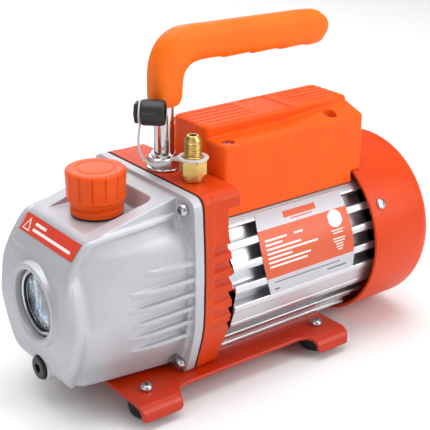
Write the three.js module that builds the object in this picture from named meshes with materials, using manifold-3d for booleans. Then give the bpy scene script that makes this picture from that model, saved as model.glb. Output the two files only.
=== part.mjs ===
// A single-stage rotary vane vacuum pump with its direct-drive motor. Millimetres, +Z up.
// The shaft runs along X: the oil tank and sight glass face -X, the fan cover faces +X.
// The origin is at the middle of the footprint, on the surface that the rubber feet stand on.
// Inside the assembly group, x = 0 is the joint between the oil tank and the pump body, and the
// floor is at z = FLOOR_Z.
import * as THREE from 'three';
import { mergeVertices } from 'three/addons/utils/BufferGeometryUtils.js';
import Module from 'manifold-3d';

// ---- Driving dimensions ----
const GAP = 0.3; // clearance between pieces that touch
const FLOOR_Z = 9; // the surface that the feet stand on
const SHAFT_Z = 73;
const SHAFT_RADIUS = 7.4;

const TANK_FRONT = -87; // front face of the oil tank
const TANK_BOTTOM = 29;
const TANK_WALL = 4;
const FLANGE_FRONT = -7.5; // the tank flange runs from here to FLANGE_REAR
const FLANGE_REAR = -0.8;
const BODY_TOP = 143.5; // flat top of the tank flange and of the pump body
const BODY_FRONT = 0.3;
const BODY_REAR = 22.5;

const CYLINDER_AXIS_Z = 70; // the bore sits 3 mm below the rotor, which makes the crescent
const CYLINDER_BORE = 25.5;
const CYLINDER_RADIUS = 33;
const CYLINDER_FRONT = -46;
const CYLINDER_REAR = -12;
const ROTOR_RADIUS = 22;
const VANE_THICKNESS = 4;

const MOTOR_FRONT = 23.3;
const MOTOR_REAR = 146;
const FIN_FRONT = 24;
const FIN_COUNT = 25;
const FIN_RADIUS = 56;
const CORE_RADIUS = 48;
const CORE_BORE = 44;
const STATOR = [52, 112]; // x range of the laminations

const COVER_FRONT = 140.5;
const COVER_REAR = 197.2;
const COVER_RADIUS = 62;
const COVER_WALL = 2;

const PLATE_TOP = 25;
const PLATE_THICKNESS = 2.5;
const PLATE_HALF_WIDTH = 66; // over the two bent wings, and PLATE_SPINE between them
const PLATE_SPINE = 55;
const PLATE_BEND = 10;
const PLATE_X = [-52.7, 115.5];
const WAIST_X = [-23, 88]; // the plate has wings outside these, and is a plain flat spine between them
const WING_BOTTOM = 14.5;
const FOOT_X = [-38, 101.4];
const FOOT_Y = 47.2;

const WINDOW_Z = 78.5; // sight glass
const WINDOW_RADIUS = 19;
const WINDOW_SEAT = -78.3; // the glass, its O-ring and its clamping ring stack up in front of this
const DRAIN_Z = 34.5;
const FILL_X = -40;
const POCKET_FLOOR = 126.5;

const BOX_X = [30.4, 149];
const BOX_TOP = 172;
const LEDGE_TOP = 163.7;
const BOX_HALF_WIDTH = 34.5;
const SPINE_HALF_WIDTH = 17.5;
const BOX_WALL = 2.5;
const BOX_SCREWS = [[38, 28], [125, 26]]; // x, and distance from the middle

const POST = [12, 3]; // x, y of the handle post
const POST_RADIUS = 6.2;
const GRIP_HALF_DEPTH = 8.2;
const FITTING = [13, -26]; // x, y of the brass inlet fitting
const CAP_ANGLE = 137; // direction from the fitting to its hanging cap, degrees from +X
const CAP_Z = 185.5;

const PANEL_Y = 37.2; // flat pad on the far side that holds the switch and the power inlet
const SWITCH_X = 102;
const INLET_X = 70;
const PANEL_Z = 143;
const ROCKER_REST = 7; // degrees that the rocker leans to its off side

// Sides of round shapes, by size.
const LARGE = 32;
const MEDIUM = 20;
const SMALL = 12;
const FASTENER = 8;

// The middle of the whole object, between the rim of the sight glass and the fan cover.
const WINDOW_RIM = TANK_FRONT - 1.6;
const MIDDLE_X = (WINDOW_RIM + COVER_REAR) / 2;

const wasm = await Module();
wasm.setup();

const assembly = new THREE.Group();
assembly.position.set(-MIDDLE_X, 0, -FLOOR_Z);
const pump = new THREE.Group();
pump.add(assembly);

// ---- Materials ----
function finish(color, roughness, metalness) {
  return new THREE.MeshStandardMaterial({ color, roughness, metalness });
}
const castAluminium = finish(0xaeb0b5, 0.45, 0.6);
const orangePaint = finish(0xf0521e, 0.45, 0.1);
const platePaint = finish(0xd9360c, 0.4, 0.1);
const orangePlastic = finish(0xff6a20, 0.5, 0);
const gripPlastic = finish(0xff7a2a, 0.55, 0);
const brightAluminium = finish(0xd6d7da, 0.25, 0.9);
const steel = finish(0xb4b6ba, 0.3, 0.9);
const chrome = finish(0xe6e8ec, 0.1, 1);
const castIron = finish(0x55565a, 0.6, 0.7);
const brass = finish(0xc9a24a, 0.3, 0.9);
const copper = finish(0xb0643a, 0.4, 0.8);
const blackRubber = finish(0x161616, 0.8, 0);
const blackPlastic = finish(0x1c1c1e, 0.5, 0);
const clearPlastic = finish(0xe8e4e0, 0.4, 0);
const glass = finish(0xa8c4d8, 0.05, 0);
const vaneComposite = finish(0x4a3c30, 0.7, 0);
const redPlastic = finish(0xb01818, 0.4, 0);

// ---- Solids: every shape is a closed geometry, and the cuts and joins are manifold solids ----
const ALONG_X = new THREE.Matrix4().set(0, 0, 1, 0, 1, 0, 0, 0, 0, 1, 0, 0, 0, 0, 0, 1);
const ALONG_Y = new THREE.Matrix4().set(1, 0, 0, 0, 0, 0, -1, 0, 0, 1, 0, 0, 0, 0, 0, 1);
const TURN_X = new THREE.Matrix4().set(0, 1, 0, 0, 1, 0, 0, 0, 0, 0, -1, 0, 0, 0, 0, 1);
const toRadians = THREE.MathUtils.degToRad;

function signedVolume(positions, corners) {
  const [a, b, c] = [0, 1, 2].map(() => new THREE.Vector3());
  let total = 0;
  for (let i = 0; i < corners.length; i += 3) {
    a.fromArray(positions, 3 * corners[i]);
    b.fromArray(positions, 3 * corners[i + 1]);
    c.fromArray(positions, 3 * corners[i + 2]);
    total += a.dot(b.cross(c));
  }
  return total;
}

// A manifold solid from a geometry, without the flat triangles at a lathe's poles, facing out.
function solid(shape) {
  if (shape instanceof wasm.Manifold) return shape;
  const bare = shape.clone();
  bare.deleteAttribute('normal');
  bare.deleteAttribute('uv');
  const merged = mergeVertices(bare, 1e-3);
  const positions = merged.attributes.position.array;
  const corners = [];
  for (let i = 0; i < merged.index.count; i += 3) {
    const [a, b, c] = [0, 1, 2].map((k) => merged.index.getX(i + k));
    if (a !== b && b !== c && c !== a) corners.push(a, b, c);
  }
  if (signedVolume(positions, corners) < 0) corners.reverse();
  const triVerts = new Uint32Array(corners);
  return new wasm.Manifold(new wasm.Mesh({ numProp: 3, vertProperties: positions, triVerts }));
}

function join(...shapes) {
  return shapes.map(solid).reduce((all, next) => all.add(next));
}

function cut(base, ...tools) {
  return tools.map(solid).reduce((rest, tool) => rest.subtract(tool), solid(base));
}

function common(a, b) {
  return solid(a).intersect(solid(b));
}

function toGeometry(shape) {
  const mesh = solid(shape).getMesh();
  const geometry = new THREE.BufferGeometry();
  geometry.setAttribute('position', new THREE.Float32BufferAttribute(mesh.vertProperties, 3));
  geometry.setIndex(new THREE.Uint32BufferAttribute(mesh.triVerts, 1));
  geometry.computeVertexNormals();
  return geometry;
}

function part(name, shape, material, parent = assembly) {
  const mesh = new THREE.Mesh(toGeometry(shape), material);
  mesh.name = name;
  parent.add(mesh);
  return mesh;
}

function box(x0, x1, y0, y1, z0, z1) {
  const geometry = new THREE.BoxGeometry(x1 - x0, y1 - y0, z1 - z0);
  return geometry.translate((x0 + x1) / 2, (y0 + y1) / 2, (z0 + z1) / 2);
}

// Lathe solids from a profile of [radius, distance along the axis] points.
function lathe(profile, segments, phase) {
  return new THREE.LatheGeometry(profile.map(([r, h]) => new THREE.Vector2(r, h)), segments, phase);
}
function turnedX(profile, y = 0, z = SHAFT_Z, segments = LARGE, phase = 0) {
  return lathe(profile, segments, phase).applyMatrix4(TURN_X).translate(0, y, z);
}
function turnedY(profile, x, z, segments = FASTENER) {
  return lathe(profile, segments, 0).translate(x, 0, z);
}
function turnedZ(profile, x = 0, y = 0, segments = MEDIUM, phase = 0) {
  return lathe(profile, segments, phase).applyMatrix4(ALONG_Y).translate(x, y, 0);
}
function rod(radius, from, to) {
  return [[0, from], [radius, from], [radius, to], [0, to]];
}
function tube(inner, outer, from, to) {
  return [[inner, from], [outer, from], [outer, to], [inner, to], [inner, from]];
}

// A closed outline through [u, v, corner radius] points, and its mirror image across u = 0.
function outline(corners) {
  const shape = new THREE.Shape();
  corners.forEach(([u, v, radius = 0], i) => {
    const corner = new THREE.Vector2(u, v);
    const [before, after] = [corners.at(i - 1), corners[(i + 1) % corners.length]];
    const start = new THREE.Vector2(before[0] - u, before[1] - v).setLength(radius).add(corner);
    const end = new THREE.Vector2(after[0] - u, after[1] - v).setLength(radius).add(corner);
    if (i === 0) shape.moveTo(start.x, start.y);
    else shape.lineTo(start.x, start.y);
    if (radius > 0) shape.quadraticCurveTo(u, v, end.x, end.y);
  });
  shape.closePath();
  return shape;
}
function mirrored(half) {
  return [...half, ...half.map(([u, ...rest]) => [-u, ...rest]).reverse()];
}
function extrude(shape, depth, curveSegments) {
  return new THREE.ExtrudeGeometry(shape, { depth, curveSegments, bevelEnabled: false });
}
// Outlines in (y, z), (x, z) and (x, y), extruded along the third axis.
function extrudeX(shape, x0, x1, curveSegments = 3) {
  return extrude(shape, x1 - x0, curveSegments).applyMatrix4(ALONG_X).translate(x0, 0, 0);
}
function extrudeY(shape, y0, y1, curveSegments = 3) {
  return extrude(shape, y1 - y0, curveSegments).applyMatrix4(ALONG_Y).translate(0, y1, 0);
}
function extrudeZ(shape, z0, z1, curveSegments = 3) {
  return extrude(shape, z1 - z0, curveSegments).translate(0, 0, z0);
}

// A solid through rings of equal length, closed by a fan at each end.
function loft(rings) {
  const count = rings[0].length;
  const middle = (ring) => ring.reduce((sum, p) => sum.add(p), new THREE.Vector3()).divideScalar(count);
  const points = [...rings.flat(), middle(rings[0]), middle(rings.at(-1))];
  const last = (rings.length - 1) * count;
  const index = [];
  for (let i = 0; i < count; i++) {
    const next = (i + 1) % count;
    for (let r = 0; r < last; r += count) {
      index.push(r + i, r + next, r + count + next);
      index.push(r + i, r + count + next, r + count + i);
    }
    index.push(points.length - 2, next, i);
    index.push(points.length - 1, last + i, last + next);
  }
  const geometry = new THREE.BufferGeometry().setFromPoints(points);
  geometry.setIndex(index);
  return geometry;
}

// A rectangle with rounded corners at one height, as a ring for loft.
function roundedRing(x0, x1, halfWidth, radius, z, steps = 2) {
  const corners = [[x1, 1, 0], [x0, 1, 90], [x0, -1, 180], [x1, -1, 270]];
  return corners.flatMap(([x, side, start]) => {
    const cx = x === x1 ? x - radius : x + radius;
    return Array.from({ length: steps + 1 }, (_, k) => {
      const angle = toRadians(start + (90 * k) / steps);
      const cy = side * (halfWidth - radius);
      return new THREE.Vector3(cx + radius * Math.cos(angle), cy + radius * Math.sin(angle), z);
    });
  });
}

const SIDES = [['left', -1], ['right', 1]];

// ---- Base plate, feet and their screws ----
function makeBasePlate() {
  const channel = (inset) => mirrored([
    [PLATE_HALF_WIDTH - inset, 0], [PLATE_HALF_WIDTH - inset, PLATE_TOP - inset, PLATE_BEND - inset],
  ]);
  const section = outline([...channel(0), ...channel(PLATE_THICKNESS).reverse()]);
  const [front, rear] = PLATE_X;
  const [waistFront, waistRear] = WAIST_X;
  const sidePlan = (side) => [
    [front, side * PLATE_HALF_WIDTH, 4], [waistFront, side * PLATE_HALF_WIDTH],
    [waistFront, side * PLATE_SPINE, 10.5], [waistRear, side * PLATE_SPINE, 10.5],
    [waistRear, side * PLATE_HALF_WIDTH], [rear, side * PLATE_HALF_WIDTH, 4],
  ];
  const plan = outline([...sidePlan(-1), ...sidePlan(1).reverse()]);
  const sideView = outline([
    [front - 1, 30], [front, WING_BOTTOM, 4], [waistFront, WING_BOTTOM, 4], [waistFront, 20],
    [waistRear, 20], [waistRear, WING_BOTTOM, 4], [rear, WING_BOTTOM, 4], [rear + 1, 30],
  ]);
  const steelPlate = common(
    common(extrudeX(section, front, rear, 5), extrudeZ(plan, 0, 30, 4)),
    extrudeY(sideView, -70, 70, 4),
  );
  const holes = FOOT_X.flatMap((x) => SIDES.map(([, side]) => (
    turnedZ(rod(2.2, 20, 30), x, side * FOOT_Y, FASTENER)
  )));
  return cut(steelPlate, ...holes);
}
part('base_plate', makeBasePlate(), platePaint);

const footProfile = [
  [0, 13], [2.1, 13], [2.1, 22.1], [8, 22.1], [12, 20.5], [11.6, 15], [10.6, 10.6], [8.6, FLOOR_Z],
  [0, FLOOR_Z],
];
const panScrewProfile = [[0, 14], [1.8, 14], [1.8, 25.3], [4, 25.3], [4, 27.6], [2.6, 28.9], [0, 28.9]];
[['front', FOOT_X[0]], ['rear', FOOT_X[1]]].forEach(([end, x]) => {
  SIDES.forEach(([name, side]) => {
    part(`foot_${end}_${name}`, turnedZ(footProfile, x, side * FOOT_Y, 12), blackRubber);
    part(`foot_screw_${end}_${name}`, turnedZ(panScrewProfile, x, side * FOOT_Y, FASTENER), steel);
  });
});

// ---- Pump body and tank share one flange outline, [y, z, corner radius] ----
function flangeCorners(inset = 0) {
  return mirrored([
    [46 - inset, PLATE_TOP + GAP, 2], [56 - inset, 56, 12], [57 - inset, 100, 14],
    [54.5 - inset, BODY_TOP, 8],
  ]);
}
const UPPER_SCREW = [46, 135.5];
const LOWER_SCREW = [41.8, 30.6];
const flangeScrews = [UPPER_SCREW, LOWER_SCREW].flatMap(([y, z]) => [[-y, z], [y, z]]);

// Half width of the tank at a height, from the front face (t = 0) to the flange (t = 1).
const FRONT_EDGE = [
  [24, 20], [29.6, 36], [38, 50], [44.8, 70], [43, 84], [39, 97], [35.5, 107], [34.5, 115], [33.5, 124], [31, 142],
];
const REAR_EDGE = [
  [33, 20], [39, 36], [45.5, 50], [50, 70], [51.3, 84], [51.6, 98], [50.8, 112], [48.5, 121], [38.5, 129], [36, 150],
];
// Height of each cooling fin on the tank's sides, and where its pointed front end is.
const TANK_FINS = [[55.4, -46], [65.4, -48.5], [74.7, -50.5], [84.2, -51], [93.9, -47], [104.3, -37.5]];
const TANK_FIN_SLOPE = -4.8; // degrees, down towards the front

function tankRing(x, inset) {
  const t = (x - TANK_FRONT) / (FLANGE_FRONT - TANK_FRONT);
  const half = FRONT_EDGE.map(([y, z], i) => {
    const [rearY, rearZ] = REAR_EDGE[i];
    return new THREE.Vector2(y + t * (rearY - y) - inset, z + t * (rearZ - z));
  });
  const side = new THREE.SplineCurve(half).getPoints(13);
  const ring = side.map((p) => new THREE.Vector3(x, p.x, p.y));
  return [...ring, ...side.reverse().map((p) => new THREE.Vector3(x, -p.x, p.y))];
}

function makeOilTank() {
  const profile = outline([
    [FLANGE_FRONT + 1, TANK_BOTTOM], [-70, TANK_BOTTOM, 8], [-84, 36, 5], [TANK_FRONT, 78, 14],
    [-83.3, 105, 4.6], [-78, 113, 4.6], [-67.4, 125.6, 5], [FLANGE_FRONT + 1, 141],
  ]);
  const stations = [[-88, 5.5], [-86, 2.8], [-82, 0.3], [-74, 1], [-60, 0.4], [-6.5, 0]];
  const outer = common(loft(stations.map(([x, inset]) => tankRing(x, inset))), extrudeY(profile, -60, 60, 3));
  const hollow = outline([
    [5, 33], [-68, 33, 6], [-80, 40, 5], [-83, 78, 10], [-79.4, 104, 6], [-72, 115], [-64, 119], [5, 119],
  ]);
  const cavity = common(
    loft([-84, 5].map((x) => tankRing(x, TANK_WALL + 1))),
    extrudeY(hollow, -60, 60, 2),
  );
  const pocket = extrudeZ(
    outline(mirrored([[25, -17, 5], [25, -64, 2]]).map(([y, x, r]) => [x, y, r])),
    POCKET_FLOOR, BODY_TOP + 1, 2,
  );
  const finPlan = (tip, side) => outline([
    [FLANGE_FRONT + 1, side * 38], [FLANGE_FRONT + 1, side * 55.6], [tip + 17, side * 51.6, 10],
    [tip, side * 46], [tip, side * 38],
  ]);
  const fins = TANK_FINS.flatMap(([z, tip]) => SIDES.map(([, side]) => (
    extrudeZ(finPlan(tip, side), -1.4, 1.4, 1).rotateY(toRadians(TANK_FIN_SLOPE)).translate(0, 0, z)
  )));
  const windowBoss = turnedX(rod(26.4, WINDOW_RIM, -75.5), 0, WINDOW_Z);
  const drainBoss = turnedX(rod(9.6, -83.8, -71), 0, DRAIN_Z, MEDIUM);
  const flange = extrudeX(outline(flangeCorners()), FLANGE_FRONT, FLANGE_REAR);
  const shell = join(cut(join(outer, ...fins, flange), cavity), windowBoss, drainBoss);
  const wideBore = turnedX(rod(WINDOW_RADIUS + 2.5, -95, WINDOW_SEAT), 0, WINDOW_Z, MEDIUM);
  const narrowBore = turnedX(rod(16, WINDOW_SEAT - 1, -70), 0, WINDOW_Z, MEDIUM);
  const drainBore = turnedX([
    [0, -90], [7.9, -90], [7.9, -81.8], [4.3, -81.8], [4.3, -70], [0, -70],
  ], 0, DRAIN_Z, SMALL);
  const neck = turnedZ(rod(9, 110, 135), FILL_X, 0, SMALL);
  const screwHoles = flangeScrews.map(([y, z]) => turnedX(rod(2.4, -9, 1), y, z, FASTENER));
  return cut(shell, pocket, wideBore, narrowBore, drainBore, neck, ...screwHoles);
}
part('oil_tank', makeOilTank(), castAluminium);

function makeTankGasket() {
  const shape = outline(flangeCorners(0.4));
  const opening = outline(mirrored([[35, 34, 3], [45.6, 70, 10], [46.4, 98, 8], [44, 118, 4]]));
  shape.holes.push(new THREE.Path(opening.getPoints(3).slice(0, -1)));
  const holes = flangeScrews.map(([y, z]) => turnedX(rod(2.4, -2, 1), y, z, FASTENER));
  return cut(extrudeX(shape, -0.5, 0, 3), ...holes);
}
part('tank_gasket', makeTankGasket(), blackRubber);

const tankScrewProfile = [[0, -11.8], [3, -11.8], [4, -10.9], [4, -7.8], [1.9, -7.8], [1.9, 13], [0, 13]];
flangeScrews.forEach(([y, z], i) => {
  const place = `${i < 2 ? 'upper' : 'lower'}_${y < 0 ? 'left' : 'right'}`;
  part(`tank_screw_${place}`, turnedX(tankScrewProfile, y, z, FASTENER), steel);
});

// ---- Sight glass, drain plug and fill cap ----
part('sight_glass', turnedX(rod(WINDOW_RADIUS + 1.8, -81, WINDOW_SEAT - GAP), 0, WINDOW_Z, MEDIUM), glass);
part('sight_glass_o_ring', turnedX(tube(WINDOW_RADIUS - 2, WINDOW_RADIUS + 1.6, -82.5, -81.3), 0, WINDOW_Z, MEDIUM), blackRubber);
part('sight_glass_ring', turnedX([
  [WINDOW_RADIUS - 0.6, -83.8], [WINDOW_RADIUS + 2, -83.8], [WINDOW_RADIUS + 2, -82.8],
  [WINDOW_RADIUS - 0.6, -82.8], [WINDOW_RADIUS - 0.6, -83.8],
], 0, WINDOW_Z, MEDIUM), chrome);

const drainHead = turnedX([
  [0, -71], [3.9, -71], [3.9, -83], [7.3, -83], [7.3, -85.6], [6.6, -86.4], [0, -86.4],
], 0, DRAIN_Z, SMALL);
const drainSocket = turnedX(rod(3.1, -87, -83.6), 0, DRAIN_Z, 6);
part('drain_plug', cut(drainHead, drainSocket), blackPlastic);
part('drain_o_ring', turnedX(tube(4.3, 7.2, -82.7, -82.1), 0, DRAIN_Z, SMALL), blackRubber);

const fillCap = turnedZ([
  [0, 117], [8.2, 117], [8.2, 127.9], [16.3, 127.9], [16.3, 131.8], [15.2, 132.6], [16.4, 133.4],
  [16.6, 136.2], [18.4, 137], [18.6, 154], [17.4, 155.6], [0, 155.6],
]);
const fillNeck = new THREE.Group();
fillNeck.position.x = FILL_X;
assembly.add(fillNeck);
part('fill_cap', fillCap, orangePlastic, fillNeck);
part('fill_cap_gasket', turnedZ(tube(8.6, 15.6, 126.8, 127.6)), blackRubber, fillNeck);

// ---- Pump body ----
function flangeHalfWidth(z) {
  const lower = THREE.MathUtils.clamp((z - PLATE_TOP) / (56 - PLATE_TOP), 0, 1);
  return 46 + 10 * lower;
}

// A louvre pocket: deep under the rib above it, running out to nothing at its foot.
const LOUVRE_PITCH = 10.7;
const LOUVRE_COUNT = 6;
const LOWEST_LOUVRE = 50.4;
function louvre(z, side) {
  const height = 5.8;
  const edge = flangeHalfWidth(z + height / 2);
  const shape = outline([
    [side * (edge + 4), z], [side * (edge - 1.5), z], [side * (edge - 7), z + height], [side * (edge + 4), z + height],
  ]);
  return extrudeX(shape, 6.5, 19);
}

function makePumpBody() {
  const casting = join(
    extrudeX(outline(flangeCorners()), BODY_FRONT, 6.5),
    extrudeX(outline(flangeCorners(1)), 6, BODY_REAR),
    extrudeX(outline(mirrored([[52, 134], [53.5, BODY_TOP, 8]])), 20, 28),
    turnedX(rod(CYLINDER_RADIUS, CYLINDER_REAR + GAP, 2), 0, CYLINDER_AXIS_Z + 1.5),
  );
  const louvres = Array.from({ length: LOUVRE_COUNT }, (_, k) => LOWEST_LOUVRE + LOUVRE_PITCH * k);
  const pockets = louvres.flatMap((z) => SIDES.map(([, side]) => louvre(z, side)));
  const seats = [
    turnedX(rod(SHAFT_RADIUS + 0.6, -20, 30), 0, SHAFT_Z, SMALL),
    turnedX(rod(13.3, 1, 30), 0, SHAFT_Z, SMALL),
    turnedX(rod(18.2, 8, 30), 0, SHAFT_Z, MEDIUM),
  ];
  const holes = [
    turnedZ(rod(POST_RADIUS + GAP, 128, 150), ...POST, SMALL),
    turnedZ(rod(4.5, 130, 150), ...FITTING, FASTENER),
    turnedZ(rod(3, 87, 135), ...FITTING, FASTENER),
    turnedX(rod(3, -15, FITTING[0]), FITTING[1], 90, FASTENER),
    ...flangeScrews.map(([y, z]) => turnedX(rod(2.3, -1, 14), y, z, FASTENER)),
  ];
  return cut(casting, ...pockets, ...seats, ...holes);
}
part('pump_body', makePumpBody(), orangePaint);

// ---- Vane pump inside the tank ----
function makePumpCylinder() {
  const block = turnedX(rod(CYLINDER_RADIUS, CYLINDER_FRONT, CYLINDER_REAR), 0, CYLINDER_AXIS_Z + 1.5);
  const bore = turnedX(rod(CYLINDER_BORE, -50, -8), 0, CYLINDER_AXIS_Z);
  const valveFlat = box(-45, -13, -14, 18, 101, 110);
  const exhaustPort = turnedZ(rod(2.2, 90, 105), -29, 10, FASTENER);
  const inletPort = box(-18, -10, -29, -17, 86, 92);
  return cut(block, bore, valveFlat, exhaustPort, inletPort);
}
part('pump_cylinder', makePumpCylinder(), castIron);
part('pump_end_plate', cut(
  turnedX(rod(CYLINDER_RADIUS, CYLINDER_FRONT - 6.3, CYLINDER_FRONT - GAP), 0, CYLINDER_AXIS_Z + 1.5),
  turnedX(rod(SHAFT_RADIUS + 0.6, -60, -40), 0, SHAFT_Z, SMALL),
), castIron);

const vaneSlot = (side) => box(-50, -8, Math.min(side * 9, side * 26), Math.max(side * 9, side * 26),
  SHAFT_Z - VANE_THICKNESS / 2 - GAP, SHAFT_Z + VANE_THICKNESS / 2 + GAP);
part('pump_rotor', cut(
  turnedX(tube(SHAFT_RADIUS + GAP, ROTOR_RADIUS, CYLINDER_FRONT + GAP, CYLINDER_REAR - GAP), 0, SHAFT_Z),
  vaneSlot(-1), vaneSlot(1),
), steel);
SIDES.forEach(([name, side]) => {
  const [near, far] = [side * 9.3, side * 21.8].sort((a, b) => a - b);
  const half = VANE_THICKNESS / 2;
  const vane = box(CYLINDER_FRONT + 0.6, CYLINDER_REAR - 0.6, near, far, SHAFT_Z - half, SHAFT_Z + half);
  part(`vane_${name}`, vane, vaneComposite);
});
part('exhaust_reed', box(-38, -20, -8, 17, 101.3, 101.9), steel);
part('reed_stop', extrudeX(outline([
  [-8, 102.2], [-7, 102.2], [17, 106.3], [17, 107.5], [-7, 103.5], [-8, 103.5],
]), -36, -22), steel);

// ---- Shaft, seal and bearings ----
part('shaft', turnedX(rod(SHAFT_RADIUS, -51, 179), 0, SHAFT_Z, SMALL), steel);
part('shaft_seal', turnedX(tube(SHAFT_RADIUS + GAP, 13, 1.5, 7.4), 0, SHAFT_Z, SMALL), blackRubber);
[['front', 8.4], ['rear', 134]].forEach(([name, x]) => {
  part(`bearing_${name}`, turnedX(tube(SHAFT_RADIUS + GAP, 17.8, x, x + 11), 0, SHAFT_Z, MEDIUM), steel);
});

// ---- Motor ----
// One T-shaped cooling fin, as [radius, sideways distance] corners.
const FIN_CORNERS = [
  [CORE_RADIUS, -0.9], [54.6, -0.9], [54.2, -2.4], [FIN_RADIUS - 0.1, -2.4],
  [FIN_RADIUS - 0.1, 2.4], [54.2, 2.4], [54.6, 0.9], [CORE_RADIUS, 0.9],
];
const FIN_PITCH = 360 / FIN_COUNT;
const FIN_PHASE = 90; // one fin points straight up
const FIN_BRIDGES = [54, 126, 198, 270, 342]; // from +Y: flat panels between the caps of two fins
function aroundShaft(geometry, degrees) {
  return geometry.rotateX(toRadians(degrees)).translate(0, 0, SHAFT_Z);
}

function finnedOutline() {
  const centre = new THREE.Vector2();
  const points = [];
  const bore = [];
  for (let k = 0; k < FIN_COUNT; k++) {
    const angle = toRadians(FIN_PHASE + k * FIN_PITCH);
    FIN_CORNERS.forEach(([r, s]) => points.push(new THREE.Vector2(r, s).rotateAround(centre, angle)));
    bore.push(new THREE.Vector2(CORE_BORE, 0).rotateAround(centre, angle));
  }
  const shape = new THREE.Shape(points);
  shape.holes.push(new THREE.Path(bore));
  return shape;
}

function makeMotorHousing() {
  const fins = extrudeX(finnedOutline(), FIN_FRONT, MOTOR_REAR).translate(0, 0, SHAFT_Z);
  const collar = turnedX(tube(CORE_BORE, CORE_RADIUS, MOTOR_FRONT, FIN_FRONT + 1), 0, SHAFT_Z, MEDIUM);
  const bridges = FIN_BRIDGES.map((angle) => (
    aroundShaft(box(FIN_FRONT, MOTOR_REAR, 53.2, 55.4, -7.4, 7.4), angle)
  ));
  const rails = SIDES.map(([, side]) => extrudeX(outline([
    [side * 18, PLATE_TOP], [side * 33.8, PLATE_TOP], [side * 33.8, PLATE_TOP + 2.2],
    [side * 32.4, PLATE_TOP + 2.8], [side * 41, PLATE_TOP + 10], [side * 37.5, PLATE_TOP + 13.5],
    [side * 22, PLATE_TOP + 6],
  ]), FIN_FRONT, COVER_FRONT - 1, 2));
  const below = box(0, 200, -60, 60, 0, PLATE_TOP + GAP);
  const wireHole = turnedZ(rod(6, 110, 140), 60, 0, FASTENER);
  return cut(join(fins, collar, ...bridges, ...rails), below, wireHole);
}
part('motor_housing', makeMotorHousing(), brightAluminium);

const SLOT_COUNT = 6;
function slotBars(inner, outer, halfWidth, x0, x1) {
  return Array.from({ length: SLOT_COUNT }, (_, k) => (
    box(x0, x1, inner, outer, -halfWidth, halfWidth)
      .rotateX((2 * Math.PI * k) / SLOT_COUNT).translate(0, 0, SHAFT_Z)
  ));
}
part('stator_core', cut(
  turnedX(tube(26.5, CORE_BORE - 0.9, ...STATOR), 0, SHAFT_Z, MEDIUM),
  ...slotBars(31, 38, 3, 40, 124),
), castIron);
part('stator_winding', join(
  turnedX(tube(29, 40, STATOR[0] - 11, STATOR[0] - GAP), 0, SHAFT_Z, MEDIUM),
  turnedX(tube(29, 40, STATOR[1] + GAP, STATOR[1] + 11), 0, SHAFT_Z, MEDIUM),
  ...slotBars(31.4, 37.6, 2.6, STATOR[0] - 4, STATOR[1] + 4),
), copper);
part('motor_rotor', turnedX(tube(SHAFT_RADIUS + GAP, 25.4, STATOR[0] - 4, STATOR[1] + 4), 0, SHAFT_Z, MEDIUM), castIron);

// ---- Rear bracket, fan and fan cover ----
const COVER_SCREW_X = 150;
const COVER_SCREW_ANGLES = [30, 150, 270]; // from +Y, about the shaft

function makeRearBracket() {
  const plate = join(
    turnedX(rod(50, MOTOR_REAR + GAP, 150), 0, SHAFT_Z, MEDIUM),
    turnedX(rod(22, 132, 148), 0, SHAFT_Z, MEDIUM),
    ...COVER_SCREW_ANGLES.map((angle) => aroundShaft(box(MOTOR_REAR + GAP, 154, 45, 59.4, -6, 6), angle)),
  );
  return cut(
    plate,
    turnedX(rod(18.2, 130, 145.4), 0, SHAFT_Z, MEDIUM),
    turnedX(rod(SHAFT_RADIUS + 0.6, 130, 160), 0, SHAFT_Z, SMALL),
    ...COVER_SCREW_ANGLES.map((angle) => aroundShaft(turnedY(rod(2.2, 47, 62), COVER_SCREW_X, 0), angle)),
  );
}
part('rear_bracket', makeRearBracket(), brightAluminium);

const FAN_BLADES = 8;
function makeFan() {
  const blades = Array.from({ length: FAN_BLADES }, (_, k) => (
    aroundShaft(box(166, 181, 10, 51, -1, 1), (360 * k) / FAN_BLADES)
  ));
  const hub = turnedX(rod(12, 163, 179), 0, SHAFT_Z, SMALL);
  const disc = turnedX(rod(34, 164, 167), 0, SHAFT_Z, MEDIUM);
  return cut(join(hub, disc, ...blades), turnedX(rod(SHAFT_RADIUS + GAP, 160, 185), 0, SHAFT_Z, SMALL));
}
part('fan', makeFan(), blackPlastic);

// The end of the cover rounds over as a quarter of an ellipse.
function coverProfile() {
  const [depth, height] = [12.8, 13.4];
  const outer = [];
  const inner = [];
  for (let k = 0; k <= 3; k++) {
    const angle = (Math.PI / 2) * (k / 3);
    const [along, across] = [Math.sin(angle), 1 - Math.cos(angle)];
    outer.push([COVER_RADIUS - height * across, COVER_REAR - depth + depth * along]);
    inner.push([COVER_RADIUS - COVER_WALL - height * across, COVER_REAR - depth + (depth - COVER_WALL) * along]);
  }
  return [
    [COVER_RADIUS, COVER_FRONT], ...outer, [0, COVER_REAR], [0, COVER_REAR - COVER_WALL],
    ...inner.reverse(), [COVER_RADIUS - COVER_WALL, COVER_FRONT], [COVER_RADIUS, COVER_FRONT],
  ];
}

function makeFanCover() {
  const rows = [[12, 25, 8], [30, 45, 12]]; // inner and outer radius of a ring of slots, and their number
  const slots = rows.flatMap(([inner, outer, count]) => Array.from({ length: count }, (_, k) => (
    aroundShaft(box(190, 200, inner, outer, -2, 2), (360 * (k + 0.5)) / count)
  )));
  const screwHoles = COVER_SCREW_ANGLES.map((angle) => (
    aroundShaft(turnedY(rod(2.2, 55, 65), COVER_SCREW_X, 0), angle)
  ));
  return cut(turnedX(coverProfile()), ...slots, ...screwHoles);
}
part('fan_cover', makeFanCover(), orangePaint);

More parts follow.
